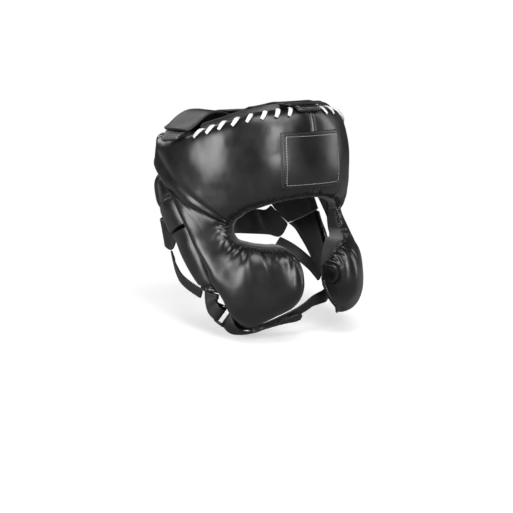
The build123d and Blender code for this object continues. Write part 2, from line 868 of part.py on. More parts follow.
# ---------------------------------------------------------------- chin strap
class Webbing:
    """A strap that turns as it goes: places of its middle, each with the way its outside faces."""

    def __init__(self, stations):
        self.places = [Vector(*place) for place, _ in stations]
        self.facings = [Vector(*facing) for _, facing in stations]
        steps = [(q - p).length for p, q in zip(self.places, self.places[1:])]
        self.length = sum(steps)
        self.shares = [sum(steps[:k]) / self.length for k in range(len(stations))]
        with BuildLine() as middle:
            Spline(*self.places)
        self.line = middle.line

    def facing(self, share):
        k = max(i for i, place in enumerate(self.shares[:-1]) if place <= share + 1e-9)
        way = (share - self.shares[k]) / (self.shares[k + 1] - self.shares[k])
        mixed = self.facings[k] * (1 - way) + self.facings[k + 1] * way
        heading = self.line % share
        return (mixed - heading * mixed.dot(heading)).normalized()

    def plane(self, share, lift=0.0):
        """Plane across the strap: x along its width, y out through its outside."""
        heading = self.line % share
        out = self.facing(share)
        return Plane(origin=(self.line @ share) + out * lift, x_dir=out.cross(heading), z_dir=heading)

    def section(self, share, width, thickness, lift):
        with BuildSketch(self.plane(share, lift)) as across:
            Rectangle(width, thickness)
        return across.sketch

    def solid(self, start, end, width, thickness=strap, lift=0.0, count=15):
        """Solid between two distances along the strap."""
        sections = []
        for step in range(count):
            share = (start + (end - start) * step / (count - 1)) / self.length
            height = lift(share * self.length) if callable(lift) else lift
            sections.append(self.section(share, width, thickness, height))
        return loft(sections=sections, ruled=True)


# the rectangular ring: its bars run across the straps that they hold
ring_facing = (ring_outside - ring_run * ring_outside.dot(ring_run)).normalized()
eye_radius = ring_wire / 2 + ring_play + strap / 2
strap_bar = ring_centre - ring_run * (ring_bar_spacing / 2)
tab_bar = ring_centre + ring_run * (ring_bar_spacing / 2)


def eye(bar):
    """Sleeve of strap round one bar of the ring, joined to the part being built."""
    with BuildSketch(Plane(origin=bar, x_dir=ring_run, z_dir=ring_run.cross(ring_facing))) as sleeve:
        Circle(eye_radius + strap / 2)
        Circle(eye_radius - strap / 2, mode=Mode.SUBTRACT)
    extrude(sleeve.sketch, amount=chin_width / 2, both=True)


# both tabs start at the lower end of a jaw tube
tube_end = tube_cuts[-1]
tube_out = tube_end.plane.y_dir
tube_heading = -tube_end.plane.z_dir
tube_end_middle = tube_end.plane.origin + tube_out * (tube_end.bow + tube_end.padding / 2)


def to_left(vector):
    return Vector(-vector.X, vector.Y, vector.Z)


tab_thickness = 2 * strap
tab_top = tube_end_middle + tube_heading * right_tab_seam_gap
tab_ring_end = tab_bar + ring_run * eye_radius
right_tab = Webbing(
    [
        (tab_top, tube_out),
        (tab_top + tube_heading * tab_straight, tube_out),
        (tab_ring_end + ring_run * tab_straight, ring_facing),
        (tab_ring_end, ring_facing),
    ]
)

left_heading = to_left(tube_heading)
left_out = to_left(tube_out)
under_tab = (strap + tab_thickness) / 2 + gap
left_end = to_left(tube_end_middle) + left_heading * left_tab_seam_gap - left_out * under_tab
strap_start = strap_bar - ring_facing * (eye_radius + eye_overlap)
chin_webbing = Webbing([(strap_start, ring_facing), *chin_stations, (left_end, left_out)])

tip_length = 76.0
tip_root = eye_radius + 1.5 * strap
tip_settled = 0.25
tip_parting = 0.75
tip_stand_off = 2.0
chin_tape_start = 26.0
chin_tape_end = 66.0
chin_tape_width = chin_width - 2 * tape_side_inset


def tip_lift(place):
    """Lift of the folded-back end, which comes down from the ring and stands off again at its tip."""
    way = (place - tip_root) / tip_length
    down = (2 * eye_radius - flap_lift) * rise(way / tip_settled)
    off = tip_stand_off * rise((way - tip_parting) / (1 - tip_parting))
    return 2 * eye_radius - down + off


with BuildPart() as chin_strap:
    chin_webbing.solid(0.0, chin_webbing.length, chin_width, count=49)
    eye(strap_bar)

with BuildPart() as chin_tip:
    chin_webbing.solid(tip_root, tip_root + tip_length, chin_width, lift=tip_lift, count=25)

with BuildPart() as chin_loop_tape:
    chin_webbing.solid(chin_tape_start, chin_tape_end, chin_tape_width, hook_tape, loop_lift, 25)

with BuildPart() as chin_hook_tape:
    chin_webbing.solid(chin_tape_start, chin_tape_end, chin_tape_width, hook_tape, hook_lift, 25)

with BuildPart() as chin_tab_right:
    right_tab.solid(0.0, right_tab.length, chin_width, tab_thickness, count=7)
    eye(tab_bar)

with BuildPart() as chin_tab_left:
    reach = chin_webbing.length
    chin_webbing.solid(reach - left_tab_length, reach, chin_width, tab_thickness, under_tab, count=7)

with BuildPart() as chin_ring:
    ring_inside = chin_width + 2.0
    with BuildSketch(Plane(origin=ring_centre, x_dir=ring_run, z_dir=ring_facing)):
        RectangleRounded(ring_bar_spacing + ring_wire, ring_inside + 2 * ring_wire, ring_wire)
        RectangleRounded(ring_bar_spacing - ring_wire, ring_inside, 1.0, mode=Mode.SUBTRACT)
    extrude(amount=ring_wire / 2, both=True)

# ---------------------------------------------------------------- the finished pieces
pieces = {
    "outer_leather_right": outer_leather_right,
    "outer_leather_left": outer_leather_left,
    "brow_foam_right": brow_foam_right,
    "brow_foam_left": brow_foam_left,
    "cheek_foam_right": cheek_foam_right,
    "cheek_foam_left": cheek_foam_left,
    "lining_right": lining_right,
    "lining_left": lining_left,
    "patch_backing": patch_backing,
    "front_patch": front_patch,
    "rim_band_right": rim_band_right,
    "rim_band_left": rim_band_left,
    "rim_lace": rim_lace,
    "rear_band_leather": rear_band_leather,
    "rear_band_foam": rear_band_foam,
    "rear_band_lining": rear_band_lining,
    "nape_leather": nape_leather,
    "nape_foam": nape_foam,
    "nape_lining": nape_lining,
    "ear_guard_right": ear_guard_right,
    "ear_guard_left": ear_guard_left,
    "ear_foam_right": ear_foam_right,
    "ear_foam_left": ear_foam_left,
    "ear_lining_right": ear_lining_right,
    "ear_lining_left": ear_lining_left,
    "jaw_tube_right": jaw_tube_right,
    "jaw_tube_left": jaw_tube_left,
    "jaw_tube_foam_right": jaw_tube_foam_right,
    "jaw_tube_foam_left": jaw_tube_foam_left,
    "ear_strap_right": ear_strap_right,
    "ear_strap_left": ear_strap_left,
    "rear_wing_right": rear_wing_right,
    "rear_wing_left": rear_wing_left,
    "rear_flap": rear_flap,
    "rear_loop_tape": rear_loop_tape,
    "rear_hook_tape": rear_hook_tape,
    "crown_tab_front": crown_tab_front,
    "crown_strap_long": crown_strap_long,
    "crown_front_flap": crown_front_flap,
    "crown_front_loop_tape": crown_front_loop_tape,
    "crown_front_hook_tape": crown_front_hook_tape,
    "crown_tab_right": crown_tab_right,
    "crown_strap_side": crown_strap_side,
    "crown_side_flap": crown_side_flap,
    "crown_side_loop_tape": crown_side_loop_tape,
    "crown_side_hook_tape": crown_side_hook_tape,
    "chin_strap": chin_strap,
    "chin_tip": chin_tip,
    "chin_loop_tape": chin_loop_tape,
    "chin_hook_tape": chin_hook_tape,
    "chin_tab_right": chin_tab_right,
    "chin_tab_left": chin_tab_left,
    "chin_ring": chin_ring,
}

for name, piece in pieces.items():
    piece.part.label = name
    export_step(piece.part, f"parts/{name}.step")
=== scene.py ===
import math

import bmesh
import bpy
import numpy as np
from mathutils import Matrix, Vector
from mathutils.bvhtree import BVHTree


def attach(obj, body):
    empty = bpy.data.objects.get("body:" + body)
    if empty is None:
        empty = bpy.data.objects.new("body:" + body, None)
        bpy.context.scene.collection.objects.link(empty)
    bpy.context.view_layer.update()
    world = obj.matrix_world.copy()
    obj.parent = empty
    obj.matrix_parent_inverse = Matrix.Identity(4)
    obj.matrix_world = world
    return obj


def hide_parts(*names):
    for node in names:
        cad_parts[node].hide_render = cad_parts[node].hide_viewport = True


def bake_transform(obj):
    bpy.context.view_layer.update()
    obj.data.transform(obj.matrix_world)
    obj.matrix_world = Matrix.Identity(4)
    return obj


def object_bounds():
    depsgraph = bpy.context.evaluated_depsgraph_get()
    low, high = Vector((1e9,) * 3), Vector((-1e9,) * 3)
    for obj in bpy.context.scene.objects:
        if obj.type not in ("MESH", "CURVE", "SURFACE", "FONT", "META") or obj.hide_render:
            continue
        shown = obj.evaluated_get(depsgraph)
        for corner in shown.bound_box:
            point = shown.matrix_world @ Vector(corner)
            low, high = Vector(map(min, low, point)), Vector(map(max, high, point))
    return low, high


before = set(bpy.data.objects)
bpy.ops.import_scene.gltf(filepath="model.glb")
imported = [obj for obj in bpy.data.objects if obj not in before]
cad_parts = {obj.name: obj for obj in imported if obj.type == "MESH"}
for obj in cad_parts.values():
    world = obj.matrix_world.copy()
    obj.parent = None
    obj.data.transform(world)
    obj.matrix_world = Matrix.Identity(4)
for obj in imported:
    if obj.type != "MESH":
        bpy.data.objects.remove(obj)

cad_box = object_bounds()

# ---------------------------------------------------------------- camera and studio
# A three-quarter view of the wearer's right side from a little above the brow, with a long lens.
# Softboxes stand in front, overhead and at both sides; the floor runs out into a white backdrop.
view_aim = Vector((-0.0025, -0.0162, -0.0786))
view_distance, view_azimuth, view_elevation, view_lens = 1.5, -36.0, 10.5, 95.68
softboxes = (
    ("front_softbox", -16.0, 24.0, 1.5, (0.35, 0.9), 13.5),
    ("overhead_softbox", -25.0, 60.0, 1.5, (0.9, 0.6), 11.0),
    ("left_side_softbox", 68.0, 14.0, 1.7, (0.5, 1.5), 10.0),
    ("right_side_softbox", -92.0, 12.0, 1.7, (0.75, 1.2), 26.0),
    ("rear_softbox", 180.0, 30.0, 1.9, (1.2, 1.2), 9.0),
)
room_glow = 0.07
floor_reach, floor_drop, shadow_reach, plain_reach = 5.0, 0.002, 0.22, 0.42
floor_tone, mirrored_floor_tone, floor_glow = 0.8, 0.32, 0.45


def direction(azimuth, elevation):
    """Unit vector from the head towards a place in the studio, by angles in degrees."""
    turn, climb = math.radians(azimuth), math.radians(elevation)
    return Vector((math.sin(turn) * math.cos(climb), -math.cos(turn) * math.cos(climb), math.sin(climb)))


def in_scene(name, data):
    """New object of the scene."""
    made = bpy.data.objects.new(name, data)
    bpy.context.scene.collection.objects.link(made)
    return made


def facing_head(name, data, azimuth, elevation, distance):
    """Camera or lamp at a place in the studio, turned to the head."""
    made = in_scene(name, data)
    towards = direction(azimuth, elevation)
    made.location = view_aim + towards * distance
    made.rotation_euler = towards.to_track_quat("Z", "Y").to_euler()
    return made


def add(nodes, kind, inputs=(), **settings):
    """New node with the given settings and values of its inputs."""
    made = nodes.new(kind)
    for setting, value in settings.items():
        setattr(made, setting, value)
    for socket, value in dict(inputs).items():
        made.inputs[socket].default_value = value
    return made


def join(links, *wires):
    """Links between nodes, each given as a node, its output, the next node and its input."""
    for source, output, target, socket in wires:
        links.new(source.outputs[output], target.inputs[socket])


camera = facing_head("camera", bpy.data.cameras.new("camera"), view_azimuth, view_elevation, view_distance)
camera.data.lens = view_lens
bpy.context.scene.camera = camera
bpy.context.scene.view_settings.view_transform = "Standard"

for name, azimuth, elevation, distance, size, watts in softboxes:
    lamp = bpy.data.lights.new(name, "AREA")
    lamp.shape = "RECTANGLE"
    lamp.size, lamp.size_y = size
    lamp.energy = watts
    facing_head(name, lamp, azimuth, elevation, distance)

world = bpy.data.worlds.new("studio")
bpy.context.scene.world = world
world.use_nodes = True
backdrop = world.node_tree.nodes["Background"]
backdrop.inputs["Color"].default_value = (1.0, 1.0, 1.0, 1.0)
path_kind = world.node_tree.nodes.new("ShaderNodeLightPath")
seen = add(world.node_tree.nodes, "ShaderNodeMix", {"A": room_glow, "B": 1.0})
join(
    world.node_tree.links,
    (path_kind, "Is Camera Ray", seen, "Factor"),
    (seen, "Result", backdrop, "Strength"),
)


def floor_paint():
    """Floor that takes the shadow near the object and is plain white further out.

    Only the camera sees it white, and the leather mirrors a darker one.
    """
    made = bpy.data.materials.new("floor_paint")
    made.use_nodes = True
    nodes = made.node_tree.nodes
    paint = nodes["Principled BSDF"]
    paint.inputs["Roughness"].default_value = 0.9
    paint.inputs["Specular IOR Level"].default_value = 0.1
    place, path = nodes.new("ShaderNodeTexCoord"), nodes.new("ShaderNodeLightPath")
    away = add(nodes, "ShaderNodeVectorMath", operation="LENGTH")
    fade_range = {"From Min": shadow_reach, "From Max": plain_reach}
    fade = add(nodes, "ShaderNodeMapRange", fade_range, interpolation_type="SMOOTHSTEP")
    shade = add(nodes, "ShaderNodeMapRange", {"To Min": mirrored_floor_tone, "To Max": floor_tone})
    plain = add(nodes, "ShaderNodeMath", operation="MULTIPLY")
    glow_strength = add(nodes, "ShaderNodeMath", {1: floor_glow}, operation="MULTIPLY")
    white, glow = nodes.new("ShaderNodeEmission"), nodes.new("ShaderNodeEmission")
    lifted, mixed = nodes.new("ShaderNodeAddShader"), nodes.new("ShaderNodeMixShader")
    join(
        made.node_tree.links,
        (path, "Is Camera Ray", shade, "Value"),
        (shade, "Result", paint, "Base Color"),
        (place, "Object", away, 0),
        (away, "Value", fade, "Value"),
        (fade, "Result", plain, 0),
        (path, "Is Camera Ray", plain, 1),
        (path, "Is Camera Ray", glow_strength, 0),
        (glow_strength, "Value", glow, "Strength"),
        (paint, "BSDF", lifted, 0),
        (glow, "Emission", lifted, 1),
        (plain, "Value", mixed, "Fac"),
        (lifted, "Shader", mixed, 1),
        (white, "Emission", mixed, 2),
        (mixed, "Shader", nodes["Material Output"], "Surface"),
    )
    return made


floor = in_scene("floor", bpy.data.meshes.new("floor"))
floor_corners = [(x * floor_reach, y * floor_reach) for x, y in ((-1, -1), (1, -1), (1, 1), (-1, 1))]
floor.data.from_pydata([(x, y, cad_box[0].z - floor_drop) for x, y in floor_corners], [], [(0, 1, 2, 3)])
floor.data.materials.append(floor_paint())

# ---------------------------------------------------------------- shell, right and left half
# Glossy black leather over foam, cut in two halves that meet at the middle of the forehead, with a
# suede lining.  The leather is turned in and gathered at the eye opening, so it puckers at that seam.
# Sizes from here on are in millimetres, and a place on the pattern is an angle round the head, 0 at the
# middle of the forehead and growing towards the wearer's right ear, with a height above the brow.
mm = 0.001
head_half_breadth, head_front_reach, head_back_reach = 81.0, 93.0, 93.0
widest_height, crown_half_height, jaw_half_height, nape_half_height = 25.0, 129.0, 233.0, 158.0
jaw_forward, jaw_height, jaw_spread = 15.0, -75.0, 45.0


def head_radius(angle, height):
    """Distance from the axis of the head to the inside of the lining."""
    turn = np.radians(angle)
    above = height > widest_height
    climb = height - widest_height
    swell = np.sqrt(1 - (climb / np.where(above, crown_half_height, jaw_half_height)) ** 2)
    jaw = jaw_forward * np.exp(-(((height - jaw_height) / jaw_spread) ** 2))
    ahead = head_front_reach * np.where(above, swell, 1.0) + jaw
    fall = np.where(above, crown_half_height, nape_half_height)
    behind = head_back_reach * np.sqrt(1 - (climb / fall) ** 2)
    reach = np.where(np.cos(turn) > 0, ahead, behind)
    return 1 / np.hypot(np.sin(turn) / (head_half_breadth * swell), np.cos(turn) / reach)


def outward(angle):
    """Direction straight out from the axis at an angle round the head."""
    turn = np.radians(angle)
    return np.stack([-np.sin(turn), -np.cos(turn), np.zeros_like(turn)], -1)


def on_head(angle, height, lift=0.0):
    """Points at an angle and a height on the pattern, lifted straight out from the head."""
    angle, height, lift = np.broadcast_arrays(np.asarray(angle, float), height, lift)
    points = outward(angle) * (head_radius(angle, height) + lift)[..., None]
    points[..., 2] = height
    return points


thinnest_end, edge_roundness = 0.12, 2.6


def on_left(points):
    """Points or ways of the wearer's right side, taken over to the left."""
    return points * (-1, 1, 1)


def unit(vectors):
    """Vectors brought to a length of one."""
    return vectors / np.maximum(np.linalg.norm(vectors, axis=-1, keepdims=True), 1e-9)


def square_to(ways, heading):
    """Ways turned square to a heading, each brought to a length of one."""
    return unit(ways - heading * np.sum(ways * heading, -1, keepdims=True))


def lengths(points):
    """Distance along a line of points, at each of them."""
    return np.concatenate([[0.0], np.cumsum(np.linalg.norm(np.diff(points, axis=0), axis=1))])


def through(rows, places, wanted):
    """Rows of numbers read off a smooth line that goes through the given rows at the given places."""
    rows, step = np.asarray(rows, float), np.diff(places)[:, None]
    slope = np.diff(rows, axis=0) / step
    inner = (slope[:-1] * step[1:] + slope[1:] * step[:-1]) / (step[1:] + step[:-1])
    tangent = np.vstack([1.5 * slope[:1] - 0.5 * inner[:1], inner, 1.5 * slope[-1:] - 0.5 * inner[-1:]])
    k = np.clip(np.searchsorted(places, wanted, side="right") - 1, 0, len(step) - 1)
    h = step[k]
    f = (wanted - places[k])[:, None] / h
    before, after = (1 + 2 * f) * (1 - f) ** 2, f * f * (3 - 2 * f)
    leaving, arriving = f * (1 - f) ** 2 * h, f * f * (f - 1) * h
    return before * rows[k] + after * rows[k + 1] + leaving * tangent[k] + arriving * tangent[k + 1]


def evenly(line, count):
    """Points of a line spaced evenly along it."""
    place = lengths(line)
    wanted = np.linspace(0, place[-1], count)
    return np.stack([np.interp(wanted, place, column) for column in line.T], 1)


def ripple(points, seed, wavelength, height, waves=14):
    """Soft unevenness of stuffed leather: waves in all directions, added up."""
    rng = np.random.default_rng(seed)
    total = np.zeros(points.shape[:-1])
    for _ in range(waves):
        heading = unit(rng.normal(size=3)) * (2 * np.pi / wavelength) * rng.uniform(0.6, 1.6)
        total += np.sin(points @ heading + rng.uniform(0, 2 * np.pi))
    return total * height / math.sqrt(waves)


def gathers(distance, place, seed, spacing, depth, reach, width, strength=1.0):
    """Depth of the creases that run in from a gathered seam, by distance from it and place along it.

    Spacing, depth, reach and width are those of an average crease; each one differs at random.
    """
    rng = np.random.default_rng(seed)
    distance, place = np.broadcast_arrays(distance, place)
    total = np.zeros(distance.shape)
    at, end = float(np.min(place)), float(np.max(place))
    while at < end:
        at += spacing * rng.uniform(0.4, 1.7)
        long = reach * rng.uniform(0.3, 1.6)
        deep = depth * rng.uniform(0.3, 1.3)
        wide = width * rng.uniform(0.7, 1.5)
        lean, bend, phase = rng.normal(0, 0.25), rng.normal(0, 0.7), rng.uniform(0, 6)
        sway = lean * distance + bend * np.sin(distance / 5.0 + phase)
        way = np.clip(distance / long, 0, 1)
        fade = (1 - way) ** 1.3 * np.minimum(1.0, 0.2 + distance / 2.5)
        total -= deep * np.exp(-(((place - at - sway) / (wide * (1 + way))) ** 2)) * fade
    return total * strength


class Panel:
    """A padded panel: rows of points over its crown and along the head, cut by cut.

    A cut is (inner angle, inner height, outer angle, outer height, padding, inner lift, outer lift,
    outer roundness).  The padding rounds off towards an end over the length given in ends, and towards
    an open edge, from one cut's outer point to another's, over the width of its shoulder.
    """

    def __init__(self, cuts, along, across, ends=(0.0, 0.0), inner_roundness=2.5, under=7, open_edge=None):
        cuts = np.array(cuts, float)
        seams = [on_head(cuts[:, a], cuts[:, a + 1], cuts[:, lift]) for a, lift in ((0, 5), (2, 6))]
        places = sum(lengths(seam) for seam in seams) / 2
        self.cut_shares = places / places[-1]
        shares = np.linspace(0, 1, along)
        if max(ends) > 0:
            shares = 0.6 * shares + 0.2 * (1 - np.cos(np.pi * shares))
        place = places[-1] * shares
        rows = through(cuts, places, place)
        inner_angle, inner_height, outer_angle, outer_height, padding, lift_in, lift_out, roundness = rows.T
        for from_end, length in ((place, ends[0]), (places[-1] - place, ends[1])):
            if length > 0:
                short = np.clip(1 - from_end / length, 0, 1)
                padding = padding * np.maximum(np.sqrt(1 - short**2), thinnest_end)
        start = on_head(inner_angle, inner_height, lift_in)
        end = on_head(outer_angle, outer_height, lift_out)
        middle_angle = (inner_angle + outer_angle) / 2
        middle = on_head(middle_angle, (inner_height + outer_height) / 2, (lift_in + lift_out) / 2)
        heading = unit(end - start)
        out = square_to(outward(middle_angle), heading)
        centre = (start + end) / 2
        half = np.linalg.norm(end - start, axis=-1) / 2
        bow = np.sum((middle - centre) * out, -1)
        spans = ((inner_angle, outer_angle), (inner_height, outer_height), (lift_in, lift_out))

        def section(x, lift):
            """Rows of points across the panel, by their way from its middle and their lift."""
            if open_edge:
                way = (x / half[:, None] + 1) / 2
                at = [low[:, None] * (1 - way) + high[:, None] * way for low, high in spans]
                lean = smooth_step(2 * shares / self.cut_shares[open_edge[0]] - 1)[:, None, None]
                away = unit(out[:, None] * (1 - lean) + outward(at[0]) * lean)
                return on_head(*at) + away * (lift * np.ones(x.shape))[..., None]
            height = bow[:, None] * (1 - (x / half[:, None]) ** 2) + lift
            return centre[:, None] + heading[:, None] * x[..., None] + out[:, None] * height[..., None]

        turns = np.linspace(np.pi, 0, across * 6)
        power = np.where(np.cos(turns) > 0, 2 / roundness[:, None], 2 / inner_roundness)
        side = np.sign(np.cos(turns)) * np.abs(np.cos(turns)) ** power
        crown = np.abs(np.sin(turns)) ** power * padding[:, None]
        crown[:, 0] = crown[:, -1] = 0
        if open_edge:
            first, last, shoulder = open_edge
            edge = end[(shares >= self.cut_shares[first]) & (shares <= self.cut_shares[last])][::3]
            for row, line in enumerate(section(side * half[:, None], 0.0)):
                away = np.linalg.norm(line[:, None] - edge[None], axis=-1).min(1)
                short = np.clip(1 - away / shoulder, 0, 1)
                crown[row] *= (1 - short**edge_roundness) ** (1 / edge_roundness)
        self.points = np.stack([evenly(line, across) for line in section(side * half[:, None], crown)])
        reach = np.linspace(1, -1, under + 2)[1:-1]
        self.under = section(reach * half[:, None], np.full((1, under), 1.0))
        self.out = out
        self.measure()

    def measure(self):
        """Normals, distances from the seams and places along them, from the points as they are."""
        normals = np.cross(np.gradient(self.points, axis=1), np.gradient(self.points, axis=0))
        normals *= np.sign(np.sum(normals * self.out[:, None], -1).mean())
        self.normals = unit(normals)
        steps = np.linalg.norm(np.diff(self.points, axis=1), axis=-1)
        self.from_inner = np.concatenate([np.zeros((len(steps), 1)), np.cumsum(steps, 1)], 1)
        self.from_outer = self.from_inner[:, -1:] - self.from_inner
        self.inner_place = lengths(self.points[:, 0])[:, None]
        self.outer_place = lengths(self.points[:, -1])[:, None]
        self.row_place = lengths(self.points[:, self.points.shape[1] // 2])[:, None]
        self.to_end = self.row_place[-1] - self.row_place

    def push(self, height):
        """Moves the crown out by a height at each point."""
        self.points = self.points + self.normals * height[..., None]
        self.measure()

    def seam(self, distance, outer=False, lift=0.0, rows=slice(None)):
        """Line at a distance from one of the seams, all along it."""
        measured = self.from_outer[:, ::-1] if outer else self.from_inner
        lifted = self.points + self.normals * lift
        lifted = lifted[:, ::-1] if outer else lifted
        reach = np.broadcast_to(distance, len(lifted))
        line = [[np.interp(r, d, row[:, k]) for k in range(3)] for r, d, row in zip(reach, measured, lifted)]
        return np.array(line)[rows]

    def across(self, row, start, end, lift=0.0):
        """Line over the crown at one row, between two shares of the way from seam to seam."""
        count = self.points.shape[1]
        chosen = slice(int(start * (count - 1)), int(end * (count - 1)) + 1)
        return (self.points + self.normals * lift)[row, chosen]

    def mirrored(self):
        """The panel taken over to the wearer's left side."""
        self.points, self.normals = on_left(self.points), on_left(self.normals)
        self.under, self.out = on_left(self.under), on_left(self.out)
        return self


def as_piece(name, points, faces, material):
    """Smooth mesh object from points of the pattern."""
    mesh = bpy.data.meshes.new(name)
    mesh.from_pydata((np.asarray(points, float).reshape(-1, 3) * mm).tolist(), [], faces)
    work = bmesh.new()
    work.from_mesh(mesh)
    bmesh.ops.remove_doubles(work, verts=work.verts, dist=0.01 * mm)
    bmesh.ops.recalc_face_normals(work, faces=work.faces)
    work.to_mesh(mesh)
    work.free()
    mesh.polygons.foreach_set("use_smooth", [True] * len(mesh.polygons))
    mesh.materials.append(material)
    return in_scene(name, mesh)


def ring_faces(rows, columns):
    """Faces of a tube of rings of points, closed with one face at each end."""
    faces = []
    for i in range(rows - 1):
        for j in range(columns):
            k = (j + 1) % columns
            faces.append((i * columns + j, i * columns + k, (i + 1) * columns + k, (i + 1) * columns + j))
    faces.append(tuple(range(columns)))
    faces.append(tuple((rows - 1) * columns + j for j in range(columns)))
    return faces


def tube_piece(name, rings, material):
    """Closed piece from rings of points, one after the other."""
    return as_piece(name, rings, ring_faces(*rings.shape[:2]), material)


def settle(piece, body, slot, *nodes):
    """Fixes a finished piece to a body and hides the CAD nodes it stands for.  The slot is not used."""
    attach(piece, body)
    if nodes:
        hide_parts(*nodes)


def pad(name, panel, *replaced):
    """Leather all round a panel on the shell."""
    cover = tube_piece(name, np.concatenate([panel.points, panel.under], 1), padding_leather)
    settle(cover, "shell", "padding_leather", *replaced)


def line_wall(name, panel):
    """Suede on the inner wall of a panel, from the head up to the seam of its leather."""
    shares = np.linspace(0, 1, 14)
    over = [panel.seam(panel.wall * share, lift=0.5) for share in shares]
    under = [panel.seam(panel.wall * share, lift=-0.5) for share in shares[::-1]]
    rings = np.stack(over + under, 1)
    rings += panel.normals[:, :1] * ripple(rings, 9, 17.0, 0.12)[..., None]
    settle(tube_piece(name, rings, suede_lining), "shell", "suede_lining")


def line_inside(name, panel, *replaced):
    """Suede on the head side of a panel, turned in just inside its seams."""
    near = np.concatenate([panel.points[:, -1:], panel.under, panel.points[:, :1]], 1)
    centre = near.mean(1, keepdims=True)
    spread = np.linalg.norm(near - centre, axis=-1, keepdims=True)
    near = near + (centre - near) * np.minimum(1.2 / np.maximum(spread, 1.2), 0.9)
    out = panel.out[:, None]
    sag = ripple(near, 5, 21.0, 0.25)[..., None]
    rings = np.concatenate([near - out * (1.0 + sag), (near + out * 0.6)[:, ::-1]], 1)
    settle(tube_piece(name, rings, suede_lining), "shell", "suede_lining", *replaced)


class Finish:
    """Material of one finish, with textures on the object's own coordinates."""

    def __init__(self, name, roughness, surface=()):
        self.material = bpy.data.materials.new(name)
        self.material.use_nodes = True
        self.nodes, self.links = self.material.node_tree.nodes, self.material.node_tree.links
        self.shader = self.nodes["Principled BSDF"]
        for socket, value in (("Roughness", roughness), *dict(surface).items()):
            self.shader.inputs[socket].default_value = value
        self.place = self.nodes.new("ShaderNodeTexCoord")

    def noise(self, scale, detail=5.0):
        """Height of a cloudy texture."""
        texture = add(self.nodes, "ShaderNodeTexNoise", {"Scale": scale, "Detail": detail})
        join(self.links, (self.place, "Object", texture, "Vector"))
        return texture.outputs["Fac"]

    def cells(self, scale, feature="F1"):
        """Height of a pebbled texture."""
        texture = add(self.nodes, "ShaderNodeTexVoronoi", {"Scale": scale}, feature=feature)
        join(self.links, (self.place, "Object", texture, "Vector"))
        return texture.outputs["Distance"]

    def shade(self, factor, dark, light):
        """Base colour between two tones, by a texture."""
        tone = self.nodes.new("ShaderNodeValToRGB")
        for stop, position, colour in zip(tone.color_ramp.elements, (0.35, 0.65), (dark, light)):
            stop.position = position
            stop.color = (*colour, 1.0)
        self.links.new(factor, tone.inputs["Fac"])
        join(self.links, (tone, "Color", self.shader, "Base Color"))

    def wear(self, factor, low, high):
        """Roughness that varies between two values, by a texture."""
        spans = {"From Min": 0.3, "From Max": 0.7, "To Min": low, "To Max": high}
        gloss = add(self.nodes, "ShaderNodeMapRange", spans)
        self.links.new(factor, gloss.inputs["Value"])
        join(self.links, (gloss, "Result", self.shader, "Roughness"))

    def bump(self, *layers):
        """Chain of bumps from coarse to fine: height, distance in metres and strength of each."""
        last = None
        for height, distance, strength in layers:
            bump = add(self.nodes, "ShaderNodeBump", {"Distance": distance, "Strength": strength})
            self.links.new(height, bump.inputs["Height"])
            if last:
                join(self.links, (last, "Normal", bump, "Normal"))
            last = bump
        join(self.links, (last, "Normal", self.shader, "Normal"))


def leather(name, dark, light, gloss, grain, depth):
    """Dyed leather: pebbled grain with fine wrinkles, and a sheen that is duller where it is handled."""
    finish = Finish(name, gloss[0], {"Specular IOR Level": 0.6})
    pebbles, wrinkles = finish.cells(grain, "SMOOTH_F1"), finish.noise(grain * 0.45, 6.0)
    cloud = finish.noise(45.0)
    finish.shade(cloud, dark, light)
    finish.wear(cloud, *gloss)
    finish.bump((wrinkles, depth * 1.5, 0.5), (pebbles, depth, 0.5))
    return finish.material


def suede(name, dark, light):
    """Napped suede: dull, with a short pile that catches light at its edge."""
    finish = Finish(name, 0.9, {"Sheen Weight": 0.25, "Sheen Roughness": 0.5})
    nap, brushed = finish.noise(900.0, 4.0), finish.noise(60.0)
    finish.shade(brushed, dark, light)
    finish.bump((brushed, 0.0006, 0.4), (nap, 0.0003, 0.7))
    return finish.material


brow_height, brow_fall = -4.0, 36.0
rim_low, rim_rise, rim_turn_start, rim_turn = 52.5, 35.0, 10.0, 105.0
eye_end_angle, eye_end_reach, eye_end_height, eye_end_rise = 39.5, 7.6, -35.5, 13.0


def brow(angle):
    """Height of the lower edge of the forehead padding."""
    return brow_height - brow_fall * math.sin(math.radians(angle)) ** 2


def rim(angle):
    """Height of the top of the padding, which falls from the forehead to the back of the head."""
    fall = min(max((abs(angle) - rim_turn_start) / rim_turn, 0), 1)
    return rim_low + rim_rise * (1 + math.cos(math.pi * fall)) / 2


def eye_corner(turn):
    """Place on the round end of the eye opening, 0 at its top and 180 at its bottom."""
    turn = math.radians(turn)
    return eye_end_angle + eye_end_reach * math.sin(turn), eye_end_height + eye_end_rise * math.cos(turn)


ear_edge_points = np.array([(120.0, 22.0), (97.0, -3.0), (75.0, -42.0), (60.0, -81.0), (42.0, -136.0)])


def on_ear_edge(share):
    """Place on the rear edge of the shell, 0 at its top and 1 under the cheek pad."""
    places = lengths(ear_edge_points)
    return tuple(through(ear_edge_points, places, np.array([share * places[-1]]))[0])


def smooth_step(share):
    """Share from 0 to 1 that leaves and arrives level."""
    share = np.clip(share, 0.0, 1.0)
    return share * share * (3 - 2 * share)


band_padding, cheek_padding = 23.0, 41.0
shoulder_roundness, seam_roundness = 6.0, 2.5
shell_rear_angle = 124.0
edge_low_lift, edge_lift_gain = 7.0, 17.0


def forehead_cut(angle, top_angle):
    """Cut from the brow up to the rim."""
    return (angle, brow(angle), top_angle, rim(top_angle), band_padding, 0, 0, shoulder_roundness)


def temple_cut(turn, angle):
    """Cut from the round end of the eye opening up to the rim."""
    return (*eye_corner(turn), angle, rim(angle), band_padding, 0, 0, shoulder_roundness)


